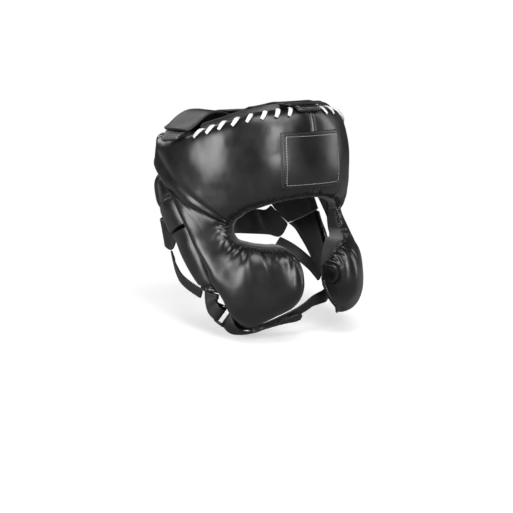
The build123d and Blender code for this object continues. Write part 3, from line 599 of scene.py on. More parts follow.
def edge_cut(start, share, padding):
    """Cut from a place on the eye opening back to the rear edge, which stands off the head."""
    lift = edge_low_lift + edge_lift_gain * float(smooth_step(share / 0.9))
    roundness = 3.0 + 9.0 * (1 - float(smooth_step(share / 0.75)))
    return (*start, *on_ear_edge(share), padding - lift / 2, 0, lift, roundness)


def cheek_cut(angle, top, low_angle, low, padding, lift):
    """Cut from the upper to the lower edge of the cheek pad."""
    return (angle, top, low_angle, low, padding - lift / 2, 0, lift, seam_roundness)


shell_cuts = [forehead_cut(angle, angle) for angle in (0.0, 6.5, 13.0, 19.5)]
shell_cuts += [forehead_cut(28.0, 31.0), forehead_cut(37.0, 46.0)]
shell_cuts += [temple_cut(*pair) for pair in ((20, 62.0), (34, 78.0), (46, 96.0), (55, 112.0))]
shell_cuts += [
    (*eye_corner(61), shell_rear_angle, rim(shell_rear_angle), band_padding - 1, 0, 0, shoulder_roundness),
    (*eye_corner(67), shell_rear_angle - 1, 37.0, band_padding - 1, 0, 2, shoulder_roundness),
    edge_cut(eye_corner(73), 0.0, band_padding - 1),
    edge_cut(eye_corner(80), 0.10, band_padding - 2),
    edge_cut(eye_corner(88), 0.19, band_padding - 2),
    edge_cut(eye_corner(98), 0.29, band_padding - 1),
    edge_cut(eye_corner(110), 0.41, band_padding + 1),
    edge_cut(eye_corner(126), 0.53, band_padding + 5),
    edge_cut(eye_corner(150), 0.67, band_padding + 10),
    edge_cut((37.5, -49.0), 0.82, cheek_padding - 4),
    edge_cut((34.0, -50.0), 0.95, cheek_padding),
    cheek_cut(30.0, -50.5, 37.0, -137.0, cheek_padding, 24.0),
    cheek_cut(25.5, -51.0, 29.0, -131.5, cheek_padding, 22.0),
    cheek_cut(21.0, -51.0, 21.5, -124.0, cheek_padding, 19.0),
    cheek_cut(17.0, -53.0, 16.0, -117.0, cheek_padding - 1, 16.0),
    cheek_cut(13.8, -57.5, 12.8, -110.5, cheek_padding - 5, 13.0),
    cheek_cut(11.5, -64.0, 11.0, -104.0, cheek_padding - 11, 10.0),
    cheek_cut(9.8, -71.0, 9.8, -97.5, cheek_padding - 20, 6.0),
    cheek_cut(8.9, -77.0, 8.9, -91.5, cheek_padding - 29, 4.0),
]
warm_black = (0.005, 0.005, 0.0055)
glossy_black, worn_black = (0.009, 0.009, 0.0095), (0.011, 0.011, 0.0115)
padding_leather = leather("padding_leather", warm_black, glossy_black, (0.27, 0.36), 1500.0, 0.00002)
seam_leather = leather("seam_leather", warm_black, worn_black, (0.38, 0.5), 1100.0, 0.00005)
suede_lining = suede("suede_lining", (0.008, 0.008, 0.0085), (0.017, 0.017, 0.0175))

# the suede comes up over the inner wall of the padding and meets the leather at a gathered seam
rear_cut, cheek_rear_cut, ear_edge_shoulder = 10, 18, 13.0
wall_cuts = (0, 10, 15, 20, 23, 25, 26, 27, 28)
wall_heights = (7.0, 9.0, 9.5, 15.0, 18.0, 15.0, 10.0, 6.0, 3.0)
gather_cuts, gather_pulls = (0, 5, 7, 11, 28), (0.7, 0.7, 1.1, 1.25, 1.2)
eye_gathers = (
    (0, 2.4, 1.1, 13.0, 0.5),
    (1, 4.2, 1.4, 25.0, 0.8),
    (5, 13.0, 1.1, 45.0, 2.2),
)
middle_seam_end = 0.2


def groove(away, depth, width):
    """Hollow along a line, by the distance away from it."""
    return depth * np.exp(-((away / width) ** 2))


def shell_half(seed, mirrored):
    """One half of the shell with its gathers, which differ from side to side."""
    edge = (rear_cut, cheek_rear_cut, ear_edge_shoulder)
    panel = Panel(shell_cuts, 640, 118, inner_roundness=3.6, open_edge=edge)
    inner, outer = panel.from_inner, panel.from_outer
    share = np.linspace(0, 1, len(panel.points))[:, None]
    wall = np.interp(share, panel.cut_shares[list(wall_cuts)], wall_heights)
    panel.wall = wall[:, 0]
    place = lengths(panel.seam(panel.wall))[:, None]
    above = np.maximum(inner - wall, 0.0)
    on_crown = smooth_step((inner - wall + 2.0) / 2.0)
    pull = np.interp(share, panel.cut_shares[list(gather_cuts)], gather_pulls) * on_crown
    height = sum(gathers(above, place, seed + more, *sizes, pull) for more, *sizes in eye_gathers)
    rear = np.clip((share - panel.cut_shares[rear_cut]) / 0.05, 0, 1)
    height += gathers(outer, panel.outer_place, seed + 2, 8.0, 0.45, 16.0, 1.4, rear)
    calm = np.clip(np.minimum(above, outer) / 15.0, 0, 1)
    height += ripple(panel.points, seed + 3, 52.0, 0.55) * calm
    height += ripple(panel.points, seed + 4, 15.0, 0.05) * calm
    height -= groove(inner - wall, 1.0, 0.9) + groove(inner - wall - 3.0, 0.4, 0.7)
    aside, in_front = panel.points[..., 0], share < middle_seam_end
    height -= groove(aside, 0.9, 1.5) * in_front
    height += groove(np.abs(aside) - 3.2, 0.35, 1.6) * in_front
    panel.push(height)
    return panel.mirrored() if mirrored else panel


shell_right, shell_left = shell_half(11, False), shell_half(31, True)
shell_sides = (("right", shell_right), ("left", shell_left))


def grid_faces(rows, columns):
    """Faces of a sheet of rows of points."""
    return [
        (i * columns + j, i * columns + j + 1, (i + 1) * columns + j + 1, (i + 1) * columns + j)
        for i in range(rows - 1)
        for j in range(columns - 1)
    ]


def new_tree(name, shape, sizes, finish, result):
    """Geometry nodes tree that takes a shape, some sizes and a finish, and gives back a mesh."""
    tree = bpy.data.node_groups.new(name, "GeometryNodeTree")
    given = [(shape, "Geometry"), *((label, "Float") for label in sizes), (finish, "Material")]
    for label, kind in given:
        tree.interface.new_socket(label, in_out="INPUT", socket_type=f"NodeSocket{kind}")
    tree.interface.new_socket(result, in_out="OUTPUT", socket_type="NodeSocketGeometry")
    return tree, tree.nodes, tree.nodes.new("NodeGroupInput"), tree.nodes.new("NodeGroupOutput")


def stitch_tree():
    """Geometry nodes that lay a row of thread stitches along the edges of a mesh."""
    sizes = ("Pitch", "Length", "Thickness")
    tree, nodes, given, made = new_tree("row_of_stitches", "Lines", sizes, "Thread", "Stitches")
    curve = nodes.new("GeometryNodeMeshToCurve")
    spots = add(nodes, "GeometryNodeCurveToPoints", mode="LENGTH")
    stitch = add(nodes, "GeometryNodeMeshUVSphere", {"Segments": 6, "Rings": 4, "Radius": 0.5})
    size = nodes.new("ShaderNodeCombineXYZ")
    turns = {0: (-0.07, -0.07, 0.0), 1: (0.07, 0.07, 6.28), "Seed": 7}
    turn = add(nodes, "FunctionNodeRandomValue", turns, data_type="FLOAT_VECTOR")
    slant = add(nodes, "FunctionNodeRotateRotation", rotation_space="LOCAL")
    placed = nodes.new("GeometryNodeInstanceOnPoints")
    real = nodes.new("GeometryNodeRealizeInstances")
    smooth = nodes.new("GeometryNodeSetShadeSmooth")
    thread = nodes.new("GeometryNodeSetMaterial")
    join(
        tree.links,
        (given, "Lines", curve, "Mesh"),
        (curve, "Curve", spots, "Curve"),
        (given, "Pitch", spots, "Length"),
        (given, "Thickness", size, "X"),
        (given, "Thickness", size, "Y"),
        (given, "Length", size, "Z"),
        (spots, "Points", placed, "Points"),
        (stitch, "Mesh", placed, "Instance"),
        (spots, "Rotation", slant, "Rotation"),
        (turn, 0, slant, "Rotate By"),
        (slant, "Rotation", placed, "Rotation"),
        (size, "Vector", placed, "Scale"),
        (placed, "Instances", real, "Geometry"),
        (real, "Geometry", smooth, "Geometry"),
        (smooth, "Geometry", thread, "Geometry"),
        (given, "Thread", thread, "Material"),
        (thread, "Geometry", made, "Stitches"),
    )
    return tree


def made_plain(holder, name):
    """Plain mesh of an object as its nodes or its bevel make it, after which the object goes."""
    bpy.context.view_layer.update()
    found = holder.evaluated_get(bpy.context.evaluated_depsgraph_get())
    mesh = bpy.data.meshes.new_from_object(found)
    mesh.name = name
    bpy.data.objects.remove(holder)
    return mesh


def grown(name, tree, points, edges, values, attributes=()):
    """Plain mesh made by a geometry nodes tree from a bare wire mesh, with the tree's named inputs set."""
    wire = bpy.data.meshes.new(name + "_wire")
    wire.from_pydata((np.asarray(points) * mm).tolist(), edges, [])
    for label, kind, data in attributes:
        field = wire.attributes.new(label, kind, "POINT")
        member = "vector" if kind == "FLOAT_VECTOR" else "value"
        field.data.foreach_set(member, np.ravel(data).astype(np.float32))
    holder = in_scene(name + "_wire", wire)
    growing = holder.modifiers.new(name, "NODES")
    growing.node_group = tree
    sockets = {item.name: item.identifier for item in tree.interface.items_tree if item.in_out == "INPUT"}
    for label, value in values.items():
        growing[sockets[label]] = value
    return in_scene(name, made_plain(holder, name))


row_of_stitches = stitch_tree()


def chain(lines):
    """Points and edges of several separate lines."""
    points, edges = [], []
    for line in lines:
        edges += [(len(points) + k, len(points) + k + 1) for k in range(len(line) - 1)]
        points += [tuple(p) for p in line]
    return np.array(points), edges


def row_of(name, lines, thread, stitch):
    """Rows of stitches along lines, all in one piece.  A stitch is its pitch, length and thickness."""
    sizes = {label: size * mm for label, size in zip(("Pitch", "Length", "Thickness"), stitch)}
    return grown(name, row_of_stitches, *chain(lines), {**sizes, "Thread": thread})


def sew(name, lines, thread, slot, stitch=(3.4, 2.7, 0.75)):
    """Rows of stitches along lines on the shell."""
    settle(row_of(name, lines, thread, stitch), "shell", slot)


def thread_finish(name, colour):
    """Twisted polyester thread, with painted shade in the grooves between its plies."""
    finish = Finish(name, 0.55)
    twist_and_shade = finish.noise(2600.0, 2.0)
    # painted shade: the thread is darker where its texture is low, in the grooves that the bump sinks
    finish.shade(twist_and_shade, tuple(c * 0.7 for c in colour), colour)
    finish.bump((twist_and_shade, 0.0001, 0.6))
    return finish.material


black_thread = thread_finish("black_thread", (0.045, 0.045, 0.047))
grey_thread = thread_finish("grey_thread", (0.42, 0.42, 0.44))


def bind(name, line, radius, sides=10):
    """Narrow roll of leather over a seam of the shell."""
    heading = unit(np.gradient(line, axis=0))
    aside = unit(np.cross(heading, (0.13, 0.21, 0.97)))
    above = np.cross(heading, aside)
    turns = np.linspace(0, 2 * np.pi, sides, endpoint=False)[None, :, None]
    rings = line[:, None] + (aside[:, None] * np.cos(turns) + above[:, None] * np.sin(turns)) * radius
    settle(tube_piece(name, rings, seam_leather), "shell", "padding_leather")


ear_edge_stitch = (3.0, 2.4, 0.6)
shell_rear_row = int(shell_right.cut_shares[rear_cut] * len(shell_right.points))
for side, panel in shell_sides:
    pad(f"shell_leather_{side}", panel, f"outer_leather_{side}", f"brow_foam_{side}", f"cheek_foam_{side}")
    line_inside(f"shell_lining_{side}", panel, f"lining_{side}")
    line_wall(f"shell_wall_lining_{side}", panel)
    bind(f"eye_binding_{side}", panel.seam(panel.wall, lift=-0.1, rows=slice(6, -2, 2)), 0.8)
    rear = slice(shell_rear_row, -2, 2)
    bind(f"ear_binding_{side}", panel.seam(0.6, outer=True, rows=rear), 1.3)
    front_stitches = [panel.seam(panel.wall + 3.0, rows=slice(8, -4))]
    sew(f"eye_stitches_{side}", front_stitches, black_thread, "padding_leather")
    rear_stitches = [panel.seam(3.0, outer=True, lift=0.15, rows=rear)]
    sew(f"ear_edge_stitches_{side}", rear_stitches, grey_thread, "padding_leather", ear_edge_stitch)
shell_middle_line = shell_right.across(1, 0.12, 0.93, 0.1)
for side, aside in (("right", -3.0), ("left", 3.0)):
    middle_stitches = [shell_middle_line * (0, 1, 1) + (aside, 0, 0)]
    sew(f"middle_stitches_{side}", middle_stitches, black_thread, "padding_leather")

# ---------------------------------------------------------------- forehead patch
# A leather box sewn to the forehead with two rows of stitches, and on it a smaller bare patch with a
# stitched border.  Both are flat sheets that take the smooth curve of the forehead.
patch_half_angle, patch_low, patch_high = 19.5, 8.0, 66.0
inner_half_angle, inner_low, inner_high = 17.6, 10.5, 63.5
patch_thickness = 1.3
shell_points = np.concatenate([panel.points.reshape(-1, 3) for _, panel in shell_sides])
shell_grid = grid_faces(*shell_right.points.shape[:2])
offset = len(shell_points) // 2
shell_skin = BVHTree.FromPolygons(
    [Vector(p) for p in shell_points], shell_grid + [tuple(k + offset for k in face) for face in shell_grid]
)


def skin_radius(angle, height):
    """Distance from the axis to the outside of the shell's leather."""
    out = Vector(outward(float(angle)))
    hit = shell_skin.ray_cast(out * 250.0 + Vector((0, 0, height)), -out)[0]
    return math.hypot(hit.x, hit.y)


def forehead_terms(angle, height):
    """Terms of the smooth surface that a stiff sheet takes over the forehead."""
    a, h = np.asarray(angle, float) / 20.0, (np.asarray(height, float) - 37.0) / 30.0
    return np.stack([a**i * h**j for i in (0, 2, 4) for j in range(7) if i + j < 7], -1)


probe_angles, probe_heights = np.meshgrid(np.linspace(-19, 19, 20), np.linspace(6, 68, 24), indexing="ij")
probe_angles, probe_heights = probe_angles.ravel(), probe_heights.ravel()
probed = [skin_radius(a, h) for a, h in zip(probe_angles, probe_heights)]
forehead_fit = np.linalg.lstsq(forehead_terms(probe_angles, probe_heights), probed, rcond=None)[0]


def on_forehead(angle, height, lift=0.0):
    """Points on the smooth surface over the forehead."""
    radius = forehead_terms(angle, height) @ forehead_fit + lift
    points = outward(angle) * np.asarray(radius)[..., None]
    points[..., 2] = height
    return points


class Patch:
    """Sheet on the forehead with rounded corners, by its half angle and its lowest and highest place."""

    def __init__(self, half_angle, low, high, lift, corner):
        self.half_angle, self.low, self.high = half_angle, low, high
        self.lift, self.corner = lift, corner
        self.half_width = math.radians(half_angle) * (head_front_reach + band_padding)
        self.half_height = (high - low) / 2

    def at(self, x, y, lift=0.0):
        """Point at a distance from the middle of the patch, in millimetres along the leather."""
        angle = -np.asarray(x) / self.half_width * self.half_angle
        return on_forehead(angle, (self.low + self.high) / 2 + np.asarray(y), self.lift + lift)

    def outline(self, inset, lift, count=240):
        """Line along the edge of the patch, set in from it."""
        across, up = self.half_width - inset, self.half_height - inset
        r = max(self.corner - inset, 0.4)
        turns = np.linspace(0, np.pi / 2, 9)
        corners = [((1, 1), 0), ((-1, 1), 1), ((-1, -1), 2), ((1, -1), 3)]
        ring = []
        for (sx, sy), quarter in corners:
            for turn in turns + quarter * np.pi / 2:
                ring.append((sx * (across - r) + r * np.cos(turn), sy * (up - r) + r * np.sin(turn)))
        ring = evenly(np.array(ring + ring[:1]), count)
        return self.at(ring[:, 0], ring[:, 1], lift)

    def lay(self, name, node):
        """Lays the sheet itself: nested outlines from its foot over its rounded edge to its middle."""
        insets = (0.0, 0.0, 0.05, 0.2, 0.5, 1.0, 2.0, 4.0, 7.0, 11.0, 16.0, 21.0, 26.0)
        lifts = [-0.8, 0.0] + [patch_thickness * (1 - math.exp(-3.0 * i)) for i in insets[2:]]
        deepest = self.half_height - 1.5
        rings = np.stack([self.outline(min(i, deepest), lift)[:-1] for i, lift in zip(insets, lifts)])
        settle(tube_piece(name, rings, patch_leather), "shell", "patch_leather", node)


patch_tones = ((0.007, 0.007, 0.008), (0.013, 0.013, 0.014))
patch_leather = leather("patch_leather", *patch_tones, (0.30, 0.40), 800.0, 0.00004)
patch_foot = Patch(patch_half_angle, patch_low, patch_high, 0.1, 2.0)
patch_foot.lay("patch_backing_leather", "patch_backing")
foot_seams = [patch_foot.outline(inset, patch_thickness) for inset in (1.6, 3.6)]
sew("patch_backing_stitches", foot_seams, black_thread, "patch_leather", (3.0, 2.5, 0.7))
patch_face = Patch(inner_half_angle, inner_low, inner_high, patch_thickness + 0.05, 3.5)
patch_face.lay("front_patch_leather", "front_patch")
face_seams = [patch_face.outline(1.7, patch_thickness)]
sew("front_patch_stitches", face_seams, grey_thread, "patch_leather", (2.7, 2.2, 0.75))

# ---------------------------------------------------------------- rim of the padding
# The top of the padding is closed with flat white lace, whipped over the edge every 13 mm and leaning
# towards the forehead.  A bound strip of leather stands up inside it, broken where the straps come over.
lace_thickness, lace_width, lace_pitch_angle, lace_lean = 1.0, 4.6, 8.0, 34.0
lace_points, lace_sink, lace_bow = 15, 0.35, 0.35
ear_clearance, band_rear_low, band_end_thinning = 1.4, 16.0, 12.0
side_tab_angle, crown_strap_width, crown_tab_width = 88.0, 48.0, 30.0
strap_margin, tab_margin, corner_margin = 2.0, 2.5, 17.0
strap_half_angle = math.degrees(math.atan(crown_strap_width / 2 / head_front_reach)) + 1.5
rim_strip_thickness, rim_strip_rise, rim_strip_row, rim_stitch = 1.5, 5.0, 1.5, (2.8, 2.3, 0.5)
edge_row, second_row, stitch_lift = 2.3, 4.6, 0.95
groove_depth, groove_width, edge_softness, middle_swell = 0.22, 0.45, 0.22, 0.06


def rear_band_cut(share):
    """Cut of the band behind the head, from 1 at its right end to -1 at its left end."""
    angle = 180.0 - share * (180.0 - shell_rear_angle - ear_clearance)
    padding = band_padding - 1.0 - band_end_thinning * abs(share) ** 8
    return (angle, band_rear_low, angle, rim_low, padding, 0, 0, shoulder_roundness)


def over_rim(angle, turns, lift):
    """Distances from the axis and heights over the shoulder of the padding, lifted off the leather.

    Turns run from 90 on the side of the padding to 0 at its inner top corner.
    """
    if angle > shell_rear_angle:
        cut = rear_band_cut((180.0 - angle) / (180.0 - shell_rear_angle - ear_clearance))
    else:
        cut = (angle, rim(angle) - 60.0, angle, rim(angle), band_padding)
    low, high, padding = cut[1], cut[3], cut[4]
    seat = [float(head_radius(angle, h)) for h in (low, (low + high) / 2, high)]
    half = math.hypot(high - low, seat[2] - seat[0]) / 2
    along = np.array([seat[2] - seat[0], high - low]) / (2 * half)
    out = np.array([along[1], -along[0]])
    centre = np.array([(seat[0] + seat[2]) / 2, (low + high) / 2])
    bow = float((np.array([seat[1], (low + high) / 2]) - centre) @ out)
    places = []
    for turn in np.radians(turns):
        side, up = np.cos(turn) ** (2 / shoulder_roundness), np.sin(turn) ** (2 / shoulder_roundness)
        steep = np.array([side ** (shoulder_roundness - 1) / half, up ** (shoulder_roundness - 1) / padding])
        steep /= np.linalg.norm(steep)
        x = side * half + lift * steep[0]
        y = bow * (1 - side**2) + up * padding + lift * steep[1]
        places.append(centre + along * x + out * y)
    return np.array(places)


def lace_tree():
    """Geometry nodes that lay a flat lace along each edge line of a mesh, facing its stored direction."""
    tree, nodes, given, made = new_tree("flat_lace", "Lines", ("Width", "Thickness"), "Lace", "Laces")
    curve = nodes.new("GeometryNodeMeshToCurve")
    facing = add(nodes, "GeometryNodeInputNamedAttribute", {"Name": "facing"}, data_type="FLOAT_VECTOR")
    swell = add(nodes, "GeometryNodeInputNamedAttribute", {"Name": "swell"}, data_type="FLOAT")
    turned = add(nodes, "GeometryNodeSetCurveNormal", mode="FREE")
    profile = add(nodes, "GeometryNodeCurvePrimitiveCircle", {"Resolution": 12, "Radius": 0.5})
    size = nodes.new("ShaderNodeCombineXYZ")
    flat = nodes.new("GeometryNodeTransform")
    swept = add(nodes, "GeometryNodeCurveToMesh", {"Fill Caps": True})
    smooth = nodes.new("GeometryNodeSetShadeSmooth")
    cloth = nodes.new("GeometryNodeSetMaterial")
    join(
        tree.links,
        (given, "Lines", curve, "Mesh"),
        (curve, "Curve", turned, "Curve"),
        (facing, "Attribute", turned, "Normal"),
        (given, "Thickness", size, "X"),
        (given, "Width", size, "Y"),
        (profile, "Curve", flat, "Geometry"),
        (size, "Vector", flat, "Scale"),
        (turned, "Curve", swept, "Curve"),
        (flat, "Geometry", swept, "Profile Curve"),
        (swell, "Attribute", swept, "Scale"),
        (swept, "Mesh", smooth, "Geometry"),
        (smooth, "Geometry", cloth, "Geometry"),
        (given, "Lace", cloth, "Material"),
        (cloth, "Geometry", made, "Laces"),
    )
    return tree


def round_the_head(angle, place):
    """Point at an angle round the head from a distance from the axis and a height."""
    point = outward(angle) * place[0]
    point[2] = place[1]
    return point


def takes_a_stitch(angle):
    """True where no crown strap or tab comes over the rim, nor the corner behind the ear."""
    tab = math.degrees(math.atan(crown_tab_width / 2 / head_front_reach)) + tab_margin
    if angle < tab or abs(angle - side_tab_angle) < strap_half_angle + strap_margin:
        return False
    clear_of_corner = abs(angle - shell_rear_angle) > corner_margin
    return clear_of_corner and angle < 180.0 - strap_half_angle - strap_margin


def arch(start, end):
    """Rise and fall over the points of a stitch, between two shares of a full arch."""
    return np.sin(np.linspace(start, end, lace_points) * np.pi)


def whip_stitch(angle, side, seed):
    """Line of one stitch of lace from its hole in the leather up over the rim, with the way it faces."""
    rng = np.random.default_rng(seed)
    lift = lace_thickness * 0.55 * arch(0.02, 0.98) ** 0.35 - lace_sink
    lift += lace_bow * arch(0, 1) * rng.uniform(0.4, 1.5)
    turns = np.linspace(71, 15, lace_points)
    places = np.array([over_rim(angle, (turn,), height)[0] for turn, height in zip(turns, lift)])
    pivot = places[4, 1]
    lean = math.tan(math.radians(lace_lean + rng.normal(0, 4.0)))
    lateral = (places[:, 1] - pivot + (pivot - places[-1, 1]) * 0.15) * lean
    angles = side * (angle - np.degrees(lateral / places[:, 0]) + rng.normal(0, 0.25))
    line = np.stack([round_the_head(a, place) for a, place in zip(angles, places)])
    level = places - np.array([places[:, 0].mean() - 18.0, places[-1, 1] - 18.0])
    facing = outward(angles) * level[:, :1]
    facing[:, 2] = level[:, 1]
    swell = 0.62 + 0.38 * arch(0.06, 0.94) ** 0.6
    return line, square_to(facing, unit(np.gradient(line, axis=0))), swell * rng.uniform(0.92, 1.08)


def lace_finish():
    """White flat lace: a tight weave, a little soiled between the threads."""
    finish = Finish("white_lace", 0.75, {"Sheen Weight": 0.3})
    weave, soil = finish.cells(1500.0), finish.noise(140.0)
    finish.shade(soil, (0.62, 0.62, 0.61), (0.86, 0.86, 0.85))
    finish.bump((weave, 0.0004, 0.8))
    return finish.material


lace_angles = [lace_pitch_angle * (turn + 0.5) for turn in range(int(180.0 / lace_pitch_angle))]
stitch_angles = list(filter(takes_a_stitch, lace_angles))
whipped = [
    whip_stitch(angle, side, 100 * (side + 2) + count)
    for side in (1, -1)
    for count, angle in enumerate(stitch_angles)
]
lace_lines, lace_facings, lace_swells = zip(*whipped)
lace_sizes = {"Width": lace_width * mm, "Thickness": lace_thickness * mm, "Lace": lace_finish()}
lace_fields = (
    ("facing", "FLOAT_VECTOR", np.concatenate(lace_facings)),
    ("swell", "FLOAT", np.concatenate(lace_swells)),
)
lace = grown("rim_lacing", lace_tree(), *chain(lace_lines), lace_sizes, lace_fields)
settle(lace, "shell", "white_lace", "rim_lace")


class Strip:
    """A flat strap, from its low and high edges and the way its outside faces, row by row."""

    def __init__(self, low, high, out, count=160):
        low, high, out = (np.asarray(rows, float) for rows in (low, high, out))
        places = lengths((low + high) / 2)
        self.set_rows(through(np.hstack([low, high, out]), places, np.linspace(0, places[-1], count)))

    def set_rows(self, rows):
        """Takes over rows of low edge, high edge and facing."""
        self.rows = rows
        self.low, self.high = rows[:, :3], rows[:, 3:6]
        self.middle = (self.low + self.high) / 2
        self.place = lengths(self.middle)
        self.length = self.place[-1]

    @classmethod
    def along(cls, middle, facing, width, count=160):
        """Strap of one width along a line, turned so that its outside faces as given."""
        middle, facing = np.asarray(middle, float), np.asarray(facing, float)
        places = lengths(middle)
        rows = through(np.hstack([middle, facing]), places, np.linspace(0, places[-1], count))
        middle, facing = rows[:, :3], rows[:, 3:]
        heading = unit(np.gradient(middle, axis=0))
        facing = square_to(facing, heading)
        side = np.cross(facing, heading) * width / 2
        strip = cls.__new__(cls)
        strip.set_rows(np.hstack([middle - side, middle + side, facing]))
        return strip

    def at(self, place, across, lift):
        """Points at distances along the strap and across it from its middle, lifted off its middle layer."""
        place, across, lift = np.broadcast_arrays(place, across, lift)
        rows = np.stack([np.interp(place, self.place, column) for column in self.rows.T], -1)
        low, high, out = rows[..., :3], rows[..., 3:6], unit(rows[..., 6:])
        side = unit(high - low)
        return (low + high) / 2 + side * across[..., None] + out * lift[..., None]

    def facing(self, place):
        """Ways that the outside of the strap faces."""
        return unit(self.at(place, 0.0, 1.0) - self.at(place, 0.0, 0.0))

    def half_width(self, place):
        """Distance from the middle of the strap to its edge."""
        wide = np.linalg.norm(self.high - self.low, axis=1) / 2
        return np.interp(place, self.place, wide)

    def slab(self, start, end, thickness, lift=0.0, inset=0.0, groove=edge_row, rounded=(0, 0), **waves):
        """Rings of a strap with soft edges and a groove under its edge stitches, uneven in soft waves."""
        bunched = np.linspace(0, 1, max(10, int((end - start) / 1.3)))
        place = start + (end - start) * (0.8 * bunched + 0.1 * (1 - np.cos(np.pi * bunched)))
        half = self.half_width(place) - inset
        for from_end, radius in ((place - start, rounded[0]), (end - place, rounded[1])):
            if radius > 0:
                short = np.clip(radius - from_end, 0, radius)
                half = half - radius + np.sqrt(radius**2 - short**2)
        over, top = [], []
        for step in (0.0, 0.12, 0.4, 0.9, groove - 0.6, groove, groove + 0.6, groove + 1.8):
            over.append(np.maximum(half - step, half * 0.04))
            edge = 1 - math.exp(-step / edge_softness)
            dip = groove_depth * math.exp(-(((step - groove) / groove_width) ** 2))
            top.append(thickness * 0.5 * edge + thickness * middle_swell * (edge > 0.9) - dip)
        over.append(half * 0.0)
        top.append(thickness * 0.5 + thickness * middle_swell)
        across = np.stack(over + [-a for a in over[-2::-1]], 1)
        across = np.concatenate([across, across[:, ::-1][:, 1:-1]], 1)
        tops = np.array(top + top[-2::-1])
        heights = np.concatenate([tops, -tops[::-1][1:-1]])[None] + lifted(lift, place)[:, None]
        rings = self.at(place[:, None], across, heights)
        drift = ripple(rings, wavelength=34.0, **waves)[..., None]
        return rings + self.facing(place)[:, None] * drift

    def edge_lines(self, start, end, inset, lift, ends=False):
        """Lines of stitches along both edges, joined across the ends if asked."""
        place = np.linspace(start + inset, end - inset, max(8, int((end - start) / 2)))
        height = lifted(lift, place)
        reach = self.half_width(place) - inset
        lines = [self.at(place, reach, height), self.at(place, -reach, height)]
        if ends:
            shares = np.linspace(-1, 1, 12)
            lines += [self.at(place[k], shares * reach[k], height[k]) for k in (0, -1)]
        return lines

    def double_row(self, start, end, lift, insets=(edge_row, second_row)):
        """Two rows of stitches round the strap, one inside the other."""
        return [line for inset in insets for line in self.edge_lines(start, end, inset, lift, ends=True)]

    def box_lines(self, start, end, half, lift):
        """Box of stitches."""
        corners = [(start, -half), (end, -half), (end, half), (start, half), (start, -half)]
        shares = np.linspace(0, 1, 12)
        return [
            self.at(p + (q - p) * shares, a + (b - a) * shares, lift)
            for (p, a), (q, b) in zip(corners, corners[1:])
        ]


def lifted(lift, place):
    """Lift at places along a strap, from one value or from a function of the place."""
    return lift(place) if callable(lift) else np.full(place.shape, float(lift))


strap_tones = ((0.005, 0.005, 0.0055), (0.010, 0.010, 0.0105))
strap_leather = leather("strap_leather", *strap_tones, (0.4, 0.54), 1100.0, 0.00006)
clear_angle = strap_half_angle + strap_margin
rim_band_spans = (
    (strap_half_angle, side_tab_angle - clear_angle),
    (side_tab_angle + clear_angle, 180.0 - strap_half_angle),
)
for side, sign in (("right", 1), ("left", -1)):
    bands, band_stitches = [], []
    for span_start, span_end in rim_band_spans:
        angles = np.linspace(span_start, span_end, 15)
        seats, tops = ([over_rim(angle, (turn,), 0.2)[0] for angle in angles] for turn in (13.0, 6.0))
        sway = ripple(np.stack([angles, angles * 0, angles * 0], 1), 41 + sign, 23.0, 0.5)
        low = [round_the_head(sign * a, (r - 0.5, z - 1.5)) for a, (r, z) in zip(angles, seats)]
        high = [
            round_the_head(sign * a, (r - 1.2 + s, z + rim_strip_rise + s))
            for a, (r, z), s in zip(angles, tops, sway)
        ]
        strip = Strip(low, high, outward(sign * angles))
        soft_ends = (rim_strip_thickness, rim_strip_thickness)
        look = {"groove": rim_strip_row, "rounded": soft_ends, "seed": 43, "height": 0.2}
        bands.append(strip.slab(0, strip.length, rim_strip_thickness, **look))
        top_edge = strip.half_width(strip.place) - rim_strip_row
        band_stitches.append(strip.at(strip.place, top_edge, rim_strip_thickness / 2)[3:-3])
    for count, rings in enumerate(bands):
        piece = tube_piece(f"rim_strip_{side}_{count + 1}", rings, strap_leather)
        settle(piece, "shell", "padding_leather", *([f"rim_band_{side}"] if count == 0 else []))
    sew(f"rim_strip_stitches_{side}", band_stitches, black_thread, "padding_leather", rim_stitch)

# ---------------------------------------------------------------- back of the band and nape pad
# Two stuffed leather pads close the back of the head: the rear of the forehead band, and the nape pad
# below it, which is gathered at its seams.  Both are lined with suede.
back_shares = (1.0, 0.92, 0.8, 0.6, 0.4, 0.2, 0.0, -0.2, -0.4, -0.6, -0.8, -0.92, -1.0)
back_stitch, back_seam_inset, nape_end_angle, nape_low, nape_high = (3.4, 2.7, 0.6), 2.6, 130.4, -40.0, 15.7
nape_padding, nape_end_thinning, nape_end_rise = 26.0, 10.0, 12.0


def nape_cut(share):
    """Cut of the nape pad, from 1 at its right end to -1 at its left end."""
    angle = 180.0 - share * (180.0 - nape_end_angle)
    low = nape_low + nape_end_rise * abs(share) ** 6
    padding = nape_padding - nape_end_thinning * abs(share) ** 8
    return (angle, low, angle, nape_high, padding, 0, 0, seam_roundness)


def gathered(panel, seed, inner, outer, spacing=4.5, width=1.1, swell=0.4):
    """Puckers a panel along both its long seams, by depth and reach, and makes its stuffing uneven."""
    height = gathers(panel.from_inner, panel.inner_place, seed, spacing, *inner, width)
    height += gathers(panel.from_outer, panel.outer_place, seed + 1, spacing, *outer, width)
    calm = np.clip(np.minimum(panel.from_inner, panel.from_outer) / 10.0, 0, 1)
    ends = np.clip(np.minimum(panel.row_place, panel.to_end) / 6.0, 0, 1)
    height += ripple(panel.points, seed + 2, 30.0, swell) * calm
    panel.push(height * ends)
    return panel


